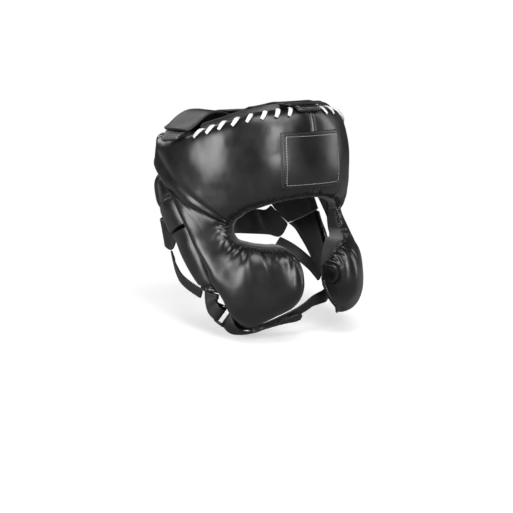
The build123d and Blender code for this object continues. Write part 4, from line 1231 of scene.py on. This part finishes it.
rear_band = Panel([rear_band_cut(share) for share in back_shares], 260, 70, ends=(9.0, 9.0))
gathered(rear_band, 61, inner=(0.8, 11.0), outer=(0.3, 6.0))
nape_pad = Panel([nape_cut(share) for share in back_shares], 260, 76, ends=(12.0, 12.0))
gathered(nape_pad, 71, inner=(1.5, 17.0), outer=(1.4, 15.0), spacing=5.0, width=1.3)
for name, panel in (("rear_band", rear_band), ("nape", nape_pad)):
    pad(f"{name}_cover", panel, f"{name}_leather", f"{name}_foam")
    line_inside(f"{name}_inside", panel, f"{name}_lining")
    seams = [panel.seam(back_seam_inset, outer, 0.05, slice(12, -12)) for outer in (False, True)]
    sew(f"{name}_stitches", seams, black_thread, "padding_leather", back_stitch)

# ---------------------------------------------------------------- ear guards and jaw tubes
# Behind the rear edge of the shell a padded guard covers the back of the ear, and a narrower padded
# tube runs from it down the jaw to the chin tab.  Cross seams part them into sections.
ear_lift, ear_stitch = 4.0, (2.8, 2.3, 0.6)
guard_gathers = ((0.7, 7.0), (0.9, 9.0), 4.6, 1.0, 0.3)
tube_gathers = ((0.6, 6.0), (0.7, 6.0), 4.2, 0.9, 0.25)
guard_seam_share, tube_seam_share = 0.45, 0.86


def guard_cut(share, end, padding, lift):
    """Cut from just behind the rear edge of the shell back to the end given."""
    angle, height = on_ear_edge(share)
    return (angle + ear_clearance, height, *end, padding, lift, lift, seam_roundness)


guard_cuts = [
    guard_cut(0.03, (128.0, 9.0), 9.0, ear_lift),
    guard_cut(0.09, (130.0, -3.0), 14.0, ear_lift),
    guard_cut(0.19, (130.0, -24.0), 14.0, ear_lift),
    guard_cut(0.25, (127.0, -34.0), 15.0, ear_lift),
    guard_cut(0.32, (120.0, -45.0), 14.0, ear_lift),
    guard_cut(0.39, (111.0, -54.0), 12.0, ear_lift),
]
tube_cuts = [
    guard_cut(0.395, (110.7, -54.5), 12.0, ear_lift),
    guard_cut(0.43, (105.0, -58.5), 12.0, ear_lift),
    guard_cut(0.50, (97.0, -69.0), 13.0, ear_lift + 1),
    guard_cut(0.59, (89.0, -80.5), 12.0, ear_lift + 3),
    guard_cut(0.68, (82.0, -91.0), 11.0, ear_lift + 5),
    guard_cut(0.76, (76.0, -99.5), 10.0, ear_lift + 7),
    guard_cut(0.82, (71.5, -105.5), 8.0, ear_lift + 9),
]


def pinched(panel, at, seed, depth=2.4, width=1.6):
    """Pulls a panel in along a cross seam, with small gathers beside it."""
    away = panel.row_place - at
    calm = np.clip(np.minimum(panel.from_inner, panel.from_outer) / 3.0, 0, 1)
    height = -depth * np.exp(-np.abs(away / width) ** 1.3) * calm
    along = np.broadcast_to(panel.from_inner, height.shape)
    height += gathers(np.abs(away), along, seed, 3.6, 0.7, 8.0, 0.9)
    panel.push(height)
    return panel


for side, seed in (("right", 80), ("left", 90)):
    guard = gathered(Panel(guard_cuts, 150, 62, ends=(7.0, 2.0), under=6), seed, *guard_gathers)
    pinched(guard, guard.row_place[-1, 0] * guard_seam_share, seed + 20)
    tube = gathered(Panel(tube_cuts, 150, 54, ends=(2.0, 3.0), under=6), seed + 5, *tube_gathers)
    pinched(tube, tube.row_place[-1, 0] * tube_seam_share, seed + 30)
    if side == "left":
        guard, tube = guard.mirrored(), tube.mirrored()
    pad(f"ear_pad_{side}", guard, f"ear_guard_{side}", f"ear_foam_{side}")
    line_inside(f"ear_inside_{side}", guard, f"ear_lining_{side}")
    pad(f"jaw_pad_{side}", tube, f"jaw_tube_{side}", f"jaw_tube_foam_{side}")
    seams = [p.seam(1.8, outer, 0.05, slice(8, -5)) for p in (guard, tube) for outer in (False, True)]
    middle_row, last_row = int(0.49 * len(guard.points)), len(guard.points) - 9
    seams += [p.across(row, 0.1, 0.9, 0.1) for p, row in ((guard, middle_row), (tube, 8), (guard, last_row))]
    sew(f"ear_stitches_{side}", seams, black_thread, "padding_leather", ear_stitch)

# ---------------------------------------------------------------- ear straps and rear closure
# Flat leather straps with stitched edges.  One runs behind each jaw tube; two wings close round the
# nape, where the left wing's free end lies over the right one on hook and loop tape.
ear_strap_route = (
    (122.2, -78.1, 12.5),
    (111.0, -84.5, 13.5),
    (103.0, -90.5, 15.0),
    (95.0, -96.5, 16.5),
    (87.0, -101.5, 17.0),
    (79.5, -105.8, 16.5),
    (73.0, -109.2, 16.0),
)
ear_strap_width, ear_strap_lean = 13.0, -28.0
strap_thickness, hook_tape_thickness, gap = 2.0, 0.8, 0.3
wing_low, wing_high, wing_lift, wing_front_angle, wing_overlap_angle = -72.0, -43.0, 23.0, 144.0, 20.0
wing_middle, wing_stitch, wing_ends = (wing_low + wing_high) / 2, (2.9, 2.4, 0.6), (1.0, 4.0)
flap_root_angle, over_wing, flap_bend = 26.0, 27.5, 5.0
tape_row, rear_tape_half, hook_pitch, hook_height, hook_wire = 1.4, 10.5, 1.7, 0.7, 0.45


def band_edges(angle, height, width, lift, lean):
    """Low and high edge of a strap across its middle, its top leaning towards the back."""
    radius = float(head_radius(angle, height)) + lift
    turn = math.degrees(math.sin(math.radians(lean)) * width / 2 / radius)
    reach = math.cos(math.radians(lean)) * width / 2
    return on_head(angle - turn, height - reach, lift), on_head(angle + turn, height + reach, lift)


def wing_row(low_angle, low, high_angle, high, lift):
    """Edges of a wing and the way it faces at one cut, lifted to the middle of its thickness."""
    out = outward((low_angle + high_angle) / 2)
    reach = lift + strap_thickness / 2
    return on_head(low_angle, low, reach), on_head(high_angle, high, reach), out


wing_root = [
    (111.5, -55.8, 128.0, -35.8, 4.5),
    (120.0, wing_low, 133.0, -42.0, wing_lift * 0.5),
    (131.0, wing_low, 138.5, wing_high, wing_lift * 0.85),
]


def level_wing(angles, lifts):
    """Cuts of a wing where it runs level."""
    return [(a, wing_low, a, wing_high, lift) for a, lift in zip(angles, lifts)]


def wing_strip(rows, count=160):
    """Strap through the cuts of a wing."""
    return Strip(*zip(*(wing_row(*row) for row in rows)), count=count)


def tape_finish(name, tone, scale, depth):
    """Nylon tape: its colour is darker where its texture is low, painted shade in the hollows between the
    loops and between the hooks.
    """
    finish = Finish(name, 0.8, {"Sheen Weight": 0.4})
    pile_and_shade = finish.noise(scale, 6.0)
    # painted shade: the tone drops to half where the texture sinks, in the same hollows as the bump
    finish.shade(pile_and_shade, tuple(c * 0.5 for c in tone), tone)
    finish.bump((pile_and_shade, depth, 0.9))
    return finish.material


loop_pile = tape_finish("loop_pile", (0.030, 0.030, 0.031), 1400.0, 0.0008)
hook_base = tape_finish("hook_base", (0.022, 0.022, 0.023), 700.0, 0.0002)


def hook_tree():
    """Geometry nodes that stand a small nylon hook on each point, along its stored direction."""
    tree, nodes, given, made = new_tree("nylon_hooks", "Places", ("Height", "Thickness"), "Nylon", "Hooks")
    facing = add(nodes, "GeometryNodeInputNamedAttribute", {"Name": "facing"}, data_type="FLOAT_VECTOR")
    upright = add(nodes, "FunctionNodeAlignRotationToVector", axis="Z")
    hook = add(nodes, "GeometryNodeMeshUVSphere", {"Segments": 5, "Rings": 3, "Radius": 0.5})
    size = nodes.new("ShaderNodeCombineXYZ")
    placed = nodes.new("GeometryNodeInstanceOnPoints")
    real = nodes.new("GeometryNodeRealizeInstances")
    nylon = nodes.new("GeometryNodeSetMaterial")
    join(
        tree.links,
        (given, "Places", placed, "Points"),
        (facing, "Attribute", upright, "Vector"),
        (upright, "Rotation", placed, "Rotation"),
        (hook, "Mesh", placed, "Instance"),
        (given, "Thickness", size, "X"),
        (given, "Thickness", size, "Y"),
        (given, "Height", size, "Z"),
        (size, "Vector", placed, "Scale"),
        (placed, "Instances", real, "Geometry"),
        (real, "Geometry", nylon, "Geometry"),
        (given, "Nylon", nylon, "Material"),
        (nylon, "Geometry", made, "Hooks"),
    )
    return tree


nylon_hooks = hook_tree()


def tapes(name, strip, start, end, half, loop_lift, body, closure):
    """Loop tape on the lower strap and hook tape, with its hooks, under the upper one."""
    hook_lift = loop_lift + hook_tape_thickness + gap
    inset = float(strip.half_width(start)) - half
    loop = strip.slab(start, end, hook_tape_thickness, loop_lift, inset, tape_row, seed=3, height=0.0)
    settle(tube_piece(f"{name}_loops", loop, loop_pile), "shell", "loop_tape", f"{closure}_loop_tape")
    base = strip.slab(start, end, hook_tape_thickness * 0.6, hook_lift, inset, tape_row, seed=3, height=0.0)
    settle(tube_piece(f"{name}_hook_base", base, hook_base), body, "hook_tape", f"{closure}_hook_tape")
    place = np.arange(start + 1.5, end - 1.0, hook_pitch)[:, None]
    across = np.arange(-half + 1.5, half - 1.0, hook_pitch)[None]
    spots, above = (strip.at(place, across, hook_lift + step) for step in (-0.4, 0.6))
    sizes = {"Height": hook_height * mm, "Thickness": hook_wire * mm, "Nylon": hook_base}
    facing = (("facing", "FLOAT_VECTOR", unit(above - spots).reshape(-1, 3)),)
    settle(grown(f"{name}_hooks", nylon_hooks, spots.reshape(-1, 3), [], sizes, facing), body, "hook_tape")


def strap(name, rings, seams, replaced, stitch, thread=black_thread, side=""):
    """Strap with its rows of stitches, sewn to the shell."""
    piece = tube_piece(f"{name}_leather{side}", rings, strap_leather)
    settle(piece, "shell", "strap_leather", replaced)
    sew(f"{name}_stitches{side}", seams, thread, "strap_leather", stitch)


def flap(name, rings, seams, replaced, stitch):
    """Strap with its rows of stitches, both baked in place, for a flap whose CAD nodes it hides."""
    piece = tube_piece(f"{name}_leather", rings, strap_leather)
    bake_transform(piece)
    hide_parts(*replaced)
    stitches = row_of(f"{name}_stitches", seams, black_thread, stitch)
    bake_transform(stitches)


for side, sign in (("right", 1), ("left", -1)):
    edges = [
        band_edges(a, z, ear_strap_width, lift + strap_thickness / 2, ear_strap_lean)
        for a, z, lift in ear_strap_route
    ]
    facing = outward(np.array([a for a, _, _ in ear_strap_route]))
    low, high = (np.array([edge[k] for edge in edges]) * (sign, 1, 1) for k in (0, 1))
    strip = Strip(low, high, facing * (sign, 1, 1))
    rings = strip.slab(0, strip.length, strap_thickness, rounded=(0.6, 0.6), seed=50 + sign, height=0.25)
    seams = strip.edge_lines(0, strip.length, edge_row, stitch_lift)
    strap("ear_strap", rings, seams, f"ear_strap_{side}", ear_stitch, side=f"_{side}")

right_angles = np.linspace(wing_front_angle, 180.0 + wing_overlap_angle, 9)
right_wing = wing_strip(wing_root + level_wing(right_angles, [wing_lift] * 9))
rings = right_wing.slab(0, right_wing.length, strap_thickness, rounded=wing_ends, seed=55, height=0.2)
seams = right_wing.double_row(0, right_wing.length, stitch_lift)
strap("right_wing", rings, seams, "rear_wing_right", wing_stitch)

flap_end_angle = 180.0 - wing_overlap_angle
left_root = [(360 - a, low, 360 - b, high, lift) for a, low, b, high, lift in wing_root]
left_angles = [360 - wing_front_angle, *np.linspace(180.0 + flap_root_angle, flap_end_angle, 9)]
left_wing = wing_strip(left_root + level_wing(left_angles, [wing_lift] + [over_wing] * 9), count=260)
rings = left_wing.slab(0, left_wing.length, strap_thickness, rounded=wing_ends, seed=57, height=0.2)
seams = left_wing.double_row(0, left_wing.length, stitch_lift)
flap_root, flap_ahead = (
    on_head(180.0 + angle, wing_middle, over_wing + strap_thickness / 2)
    for angle in (flap_root_angle, flap_root_angle - 4.0)
)
wing_nodes = ("rear_wing_left", "rear_flap")
flap("left_wing", rings, seams, wing_nodes, wing_stitch)

tape_angles = np.linspace(180.0 + wing_overlap_angle - 3.0, flap_end_angle + 3.0, 9)
tape_strip = wing_strip(level_wing(tape_angles, [wing_lift + strap_thickness / 2] * 9))
rear_loop_lift = gap + hook_tape_thickness / 2
tapes("rear", tape_strip, 0, tape_strip.length, rear_tape_half, rear_loop_lift, "rear_closure", "rear")

# ---------------------------------------------------------------- crown straps
# Two wide leather straps cross over the top of the head: a long one from front to back over one from
# side to side.  Each is sewn down at one end and closes with a flap of hook and loop over a stitched tab.
long_strap_rise, side_strap_drop, side_strap_slope, side_strap_clearance = 81.5, 5.8, 10.0, 1.8
front_root_reach, side_root_reach, front_flap_reach, side_flap_reach = 34.0, 50.0, 99.0, 94.0
settle_length, tab_short_of_root, tape_short_of_root, tape_length = 20.0, 3.0, 5.0, 34.0
droop_lift, droop_length = 2.5, 12.0
side_strap_rise = long_strap_rise - side_strap_drop
side_strap_crown = ((-62.0, 1.5), (-36.0, 1.0), (0.0, 0.0), (36.0, 1.0), (62.0, 1.5))
hook_turns = (60.0, 46.0, 32.0, 16.0)
on_leather = gap + strap_thickness / 2
strap_loop_lift = strap_thickness / 2 + gap + hook_tape_thickness / 2
strap_hook_lift = strap_loop_lift + hook_tape_thickness + gap
flap_lift = strap_hook_lift + hook_tape_thickness / 2 + gap + strap_thickness / 2
slope = math.radians(side_strap_slope)
crown_bend, crown_stitch_lift, crown_rows, tab_stitch = 5.0, 0.98, (2.3, 4.8), (2.6, 2.1, 0.6)


def long_line():
    """Middle of the long strap's path, from the front of the padding to the back."""
    front, rear = over_rim(0.0, hook_turns, on_leather), over_rim(180.0, hook_turns, on_leather)
    run = [(-r, z) for r, z in front]
    run += [(-74.0, 89.5), (-40.0, long_strap_rise + 1.5), (0.0, long_strap_rise)]
    run += [(42.0, long_strap_rise - 5.0), (74.0, long_strap_rise - 18.0)]
    run += [(r, z) for r, z in rear[::-1]]
    return np.array([(0.0, y, z) for y, z in run])


def side_line():
    """Middle of the side strap's path, from the wearer's right to the left, in its leaning plane."""
    hook = over_rim(side_tab_angle, hook_turns, on_leather + side_strap_clearance)
    run = [(-r, z) for r, z in hook]
    run += [(x, side_strap_rise + up) for x, up in side_strap_crown]
    run += [(r, z) for r, z in hook[::-1]]
    return np.array([(x, (z - rim(side_tab_angle)) * math.tan(slope), z) for x, z in run])


def upward(line):
    """Ways that face up off a strap's path, square to it."""
    across = unit(np.cross((0, 0, 1.0), unit(np.gradient(line, axis=0)[len(line) // 2])))
    return unit(np.cross(np.gradient(line, axis=0), across))


class Crossing:
    """One strap over the crown: its path and where its pieces begin and end along it."""

    def __init__(self, line, axis, root_reach, flap_reach):
        facing = upward(line)
        facing = facing * np.sign(facing[len(line) // 2, 2])
        self.strip = Strip.along(line, facing, crown_strap_width, count=300)
        along = self.strip.middle[:, axis]
        tab_reach, tape_reach = root_reach + tab_short_of_root, root_reach + tape_short_of_root
        reaches = (root_reach, tab_reach, flap_reach, tape_reach, tape_reach + tape_length)
        places = [float(np.interp(-reach, along, self.strip.place)) for reach in reaches]
        self.root, self.tab_end, self.flap_start, self.tape_end, self.tape_start = places

    def lift(self, place):
        """Lift of the strap, which lies over its tab, droops at its end and settles down past its root."""
        place = np.asarray(place)
        droop = (flap_lift - droop_lift) * smooth_step((self.tape_start - 1.0 - place) / droop_length)
        return (flap_lift - droop) * (1 - smooth_step((place - self.root) / settle_length))


def crown_strap(name, crossing, body, nodes, tab_node, tab_name):
    """The strap with its flap in one piece, its stitched edges, and the tab under the flap."""
    strip, start, end = crossing.strip, crossing.flap_start, crossing.strip.length

    def top(place):
        """Lift of the stitches on the strap."""
        return crossing.lift(place) + crown_stitch_lift

    rings = strip.slab(start, end, strap_thickness, crossing.lift, rounded=(5.0, 2.0), seed=58, height=0.3)
    root, ahead = (strip.at(place, 0.0, flap_lift) for place in (crossing.root, crossing.root - crown_bend))
    seams = strip.double_row(start, end, top, crown_rows)
    flap(name, rings, seams, nodes, wing_stitch)
    inset = (crown_strap_width - crown_tab_width) / 2
    tab = {"inset": inset, "rounded": (3.0, 3.0), "seed": 59, "height": 0.1}
    rings = strip.slab(0.0, crossing.tab_end, strap_thickness, **tab)
    half = crown_tab_width / 2 - 2.4
    boxes = ((2.2, 13.0, half), (3.8, 11.4, half - 1.6))
    seams = [line for box in boxes for line in strip.box_lines(*box, crown_stitch_lift)]
    strap(tab_name, rings, seams, tab_node, tab_stitch, grey_thread)
    half = crown_tab_width / 2 - 2.0
    tapes(name, strip, crossing.tape_start, crossing.tape_end, half, strap_loop_lift, body, body)


front_crossing = Crossing(long_line(), 1, front_root_reach, front_flap_reach)
side_crossing = Crossing(side_line(), 0, side_root_reach, side_flap_reach)
long_nodes = ("crown_strap_long", "crown_front_flap")
side_nodes = ("crown_strap_side", "crown_side_flap")
crown_strap("long_crown_strap", front_crossing, "crown_front", long_nodes, "crown_tab_front", "front_tab")
crown_strap("side_crown_strap", side_crossing, "crown_side", side_nodes, "crown_tab_right", "side_tab")

# ---------------------------------------------------------------- chin strap and ring
# A metal ring hangs on a doubled tab at the end of the right jaw tube.  The chin strap comes up from a tab
# on the left jaw tube, passes through the ring and folds back on itself with hook and loop.
chin_width, ring_wire, ring_play, ring_bar_spacing = 18.0, 3.2, 0.8, 13.0
chin_row, chin_stitch, tip_bend, chin_tape_start, chin_tape_end = 1.9, (2.7, 2.2, 0.5), 4.0, 26.0, 66.0
tip_length, tip_settled, tip_parting, tip_stand_off = 76.0, 0.25, 0.75, 2.0
left_tab_length, ring_fold_length, ring_corner_share = 22.0, 3.0, 0.8
ring_centre = np.array((-73.0, -55.5, -129.0))
ring_run = unit(np.array((-0.57, 0.58, 0.59)))
ring_outside = np.array((-0.75, -0.5, -0.3))
ring_facing = unit(ring_outside - ring_run * (ring_outside @ ring_run))
eye_radius = ring_wire / 2 + ring_play + strap_thickness / 2
strap_bar = ring_centre - ring_run * ring_bar_spacing / 2
tab_bar = ring_centre + ring_run * ring_bar_spacing / 2
tip_root = eye_radius + 3.0
chin_stations = (
    ((-63.0, -62.0, -139.0), (-0.6, -0.35, -0.72)),
    ((-54.5, -64.5, -143.0), (-0.25, -0.3, -0.92)),
    ((-46.0, -67.5, -143.5), (0.0, -0.3, -0.95)),
    ((-36.0, -71.5, -140.5), (0.05, -0.35, -0.93)),
    ((-24.0, -77.0, -136.5), (0.05, -0.45, -0.9)),
    ((-10.0, -82.5, -132.0), (0.03, -0.6, -0.8)),
    ((1.0, -85.0, -128.5), (0.0, -0.7, -0.7)),
    ((12.0, -86.0, -124.0), (0.05, -0.8, -0.6)),
    ((22.0, -85.5, -119.5), (0.1, -0.87, -0.5)),
    ((36.0, -81.0, -118.0), (0.35, -0.85, -0.35)),
    ((50.0, -73.0, -118.5), (0.6, -0.75, -0.25)),
    ((62.0, -62.0, -119.5), (0.75, -0.6, -0.2)),
    ((70.5, -52.0, -118.5), (0.88, -0.42, -0.15)),
    ((74.5, -44.5, -116.8), (0.93, -0.33, -0.05)),
)


def cut_frame(cut):
    """Middle of a cut's padding, the way out of the head there and the way on from cut to cut."""
    start, end = on_head(cut[0], cut[1], cut[5]), on_head(cut[2], cut[3], cut[6])
    middle = on_head((cut[0] + cut[2]) / 2, (cut[1] + cut[3]) / 2, (cut[5] + cut[6]) / 2)
    along = unit(end - start)
    out = outward((cut[0] + cut[2]) / 2)
    out = unit(out - along * (out @ along))
    bow = (middle - (start + end) / 2) @ out
    return (start + end) / 2 + out * (bow + cut[4] / 2), out, -np.cross(along, out)


tube_end, tube_out, tube_heading = cut_frame(tube_cuts[-1])
tab_thickness, tab_straight = 2 * strap_thickness, 4.5
under_tab = (strap_thickness + tab_thickness) / 2 + gap
right_tab_gap, left_tab_gap = 3.4, 10.3
left_out, left_heading = on_left(tube_out), on_left(tube_heading)
left_end = on_left(tube_end) + left_heading * left_tab_gap - left_out * under_tab
strap_start = strap_bar - ring_facing * eye_radius
chin_rows = [(strap_start, ring_facing), *chin_stations, (left_end, left_out)]
chin_line, chin_facing = (np.array([row[k] for row in chin_rows], float) for k in (0, 1))
chin_strip = Strip.along(chin_line, chin_facing, chin_width, count=420)


def loop_round(bar, start_turn, end_turn, count=22):
    """Points and facings round a bar of the ring, by turns from the side that faces away from it."""
    turns = np.radians(np.linspace(start_turn, end_turn, count))
    away = -ring_run if np.allclose(bar, strap_bar) else ring_run
    facing = away * np.cos(turns)[:, None] + ring_facing * np.sin(turns)[:, None]
    return bar + facing * eye_radius, facing


def tip_lift(place):
    """Lift of the folded-back end, which comes down from the ring and stands off again at its tip."""
    way = (np.asarray(place, float) - tip_root) / tip_length
    down = (2 * eye_radius - flap_lift) * smooth_step(way / tip_settled)
    return 2 * eye_radius - down + tip_stand_off * smooth_step((way - tip_parting) / (1 - tip_parting))


# the strap lies along the chin and turns round the inside of the ring's bar
loop_points, loop_facings = loop_round(strap_bar, 180.0, 262.0)
under_line = np.concatenate([loop_points, chin_strip.middle[2:]])
under_facing = np.concatenate([-loop_facings, chin_strip.rows[2:, 6:]])
under_strip = Strip.along(under_line, under_facing, chin_width, count=420)
rings = under_strip.slab(0.0, under_strip.length, strap_thickness, groove=chin_row, seed=71, height=0.15)
seams = under_strip.edge_lines(8.0, under_strip.length, chin_row, stitch_lift)
strap("chin_strap", rings, seams, "chin_strap", chin_stitch)

# its end comes back over the outside of the bar and folds down along the strap to a rounded tip
loop_points, loop_facings = loop_round(strap_bar, 180.0, 100.0)
tip_places = np.linspace(1.0, tip_root + tip_length, 120)
tip_line = np.concatenate([loop_points, chin_strip.at(tip_places, 0.0, tip_lift(tip_places))])
tip_facing = np.concatenate([loop_facings, chin_strip.facing(tip_places)])
tip_strip = Strip.along(tip_line, tip_facing, chin_width, count=260)
tip_ends = (0.0, 7.5)
rings = tip_strip.slab(0, tip_strip.length, strap_thickness, 0, 0, chin_row, tip_ends, seed=73, height=0.15)
seams = tip_strip.edge_lines(6.0, tip_strip.length, chin_row, stitch_lift, ends=True)
hinge, ahead = (chin_strip.at(place, 0.0, 2 * eye_radius) for place in (tip_root, tip_root + tip_bend))
flap("chin_tip", rings, seams, ["chin_tip"], chin_stitch)
chin_tape = (chin_tape_start, chin_tape_end, chin_width / 2 - 2.0)
tapes("chin", chin_strip, *chin_tape, strap_loop_lift, "chin_end", "chin")

# the doubled tab of the ring is one strap, folded round the ring's other bar
tab_top = tube_end + tube_heading * (right_tab_gap - ring_fold_length)
tab_middle = [
    (tab_top, tube_out),
    (tab_top + tube_heading * (tab_straight + ring_fold_length), tube_out),
    (tab_bar + ring_run * (eye_radius + tab_straight), ring_facing),
]
outer, inner = (
    [(point + facing * layer, facing * turned) for point, facing in tab_middle]
    for layer, turned in ((strap_thickness / 2, 1), (-strap_thickness / 2, -1))
)
tab_rows = [*outer, *zip(*loop_round(tab_bar, 80.0, 280.0)), *inner[::-1]]
tab_line, tab_facing = (np.array([row[k] for row in tab_rows]) for k in (0, 1))
ring_tab = Strip.along(tab_line, tab_facing, chin_width, count=200)
rings = ring_tab.slab(0.0, ring_tab.length, strap_thickness, groove=chin_row, seed=75, height=0.1)
seams = ring_tab.edge_lines(2.0, ring_tab.length / 2 - 7.0, chin_row, stitch_lift, ends=True)
strap("ring_tab", rings, seams, "chin_tab_right", chin_stitch)

# the left tab holds the end of the strap under it with a box of stitches
tab_places = np.linspace(chin_strip.length - left_tab_length, chin_strip.length, 24)
tab_line = chin_strip.at(tab_places, 0.0, under_tab)
left_tab = Strip.along(tab_line, chin_strip.facing(tab_places), chin_width, count=80)
rings = left_tab.slab(0, left_tab.length, tab_thickness, 0, 0, chin_row, (2.0, 2.0), seed=77, height=0.1)
seams = left_tab.box_lines(2.2, 16.0, chin_width / 2 - 2.0, tab_thickness / 2 + 0.05)
strap("left_chin_tab", rings, seams, "chin_tab_left", chin_stitch)


def blackened_steel():
    """Steel with a dark plated skin, worn a little brighter in spots."""
    finish = Finish("blackened_steel", 0.3, {"Metallic": 1.0})
    spots = finish.noise(190.0, 4.0)
    finish.shade(spots, (0.05, 0.05, 0.055), (0.13, 0.13, 0.135))
    finish.bump((spots, 0.00002, 0.3))
    return finish.material


def wire_ring(name, side_length, corner):
    """Rectangular ring bent from round wire, closed on itself, with its two bars at their spacing."""
    side = np.cross(ring_facing, ring_run)
    half_run, half_side = ring_bar_spacing / 2 - corner, side_length / 2 - corner
    line = []
    for turn, (a, b) in enumerate(((1, 1), (-1, 1), (-1, -1), (1, -1))):
        for angle in np.radians(90.0 * turn + np.linspace(0.0, 90.0, 9)):
            along, aside = a * half_run + corner * math.cos(angle), b * half_side + corner * math.sin(angle)
            line.append(ring_centre + ring_run * along + side * aside)
    bend = bpy.data.curves.new(name + "_bend", "CURVE")
    bend.dimensions = "3D"
    bend.bevel_depth = ring_wire / 2 * mm
    bend.bevel_resolution = 5
    spline = bend.splines.new("POLY")
    spline.points.add(len(line) - 1)
    for point, place in zip(spline.points, line):
        point.co = (*(place * mm), 1.0)
    spline.use_cyclic_u = True
    mesh = made_plain(in_scene(name + "_bend", bend), name)
    mesh.polygons.foreach_set("use_smooth", [True] * len(mesh.polygons))
    mesh.materials.clear()
    mesh.materials.append(blackened_steel())
    return in_scene(name, mesh)


ring_width = chin_width + 2.0 + ring_wire
bent = wire_ring("chin_ring_wire", ring_width, ring_wire * ring_corner_share)
settle(bent, "shell", "ring_metal", "chin_ring")
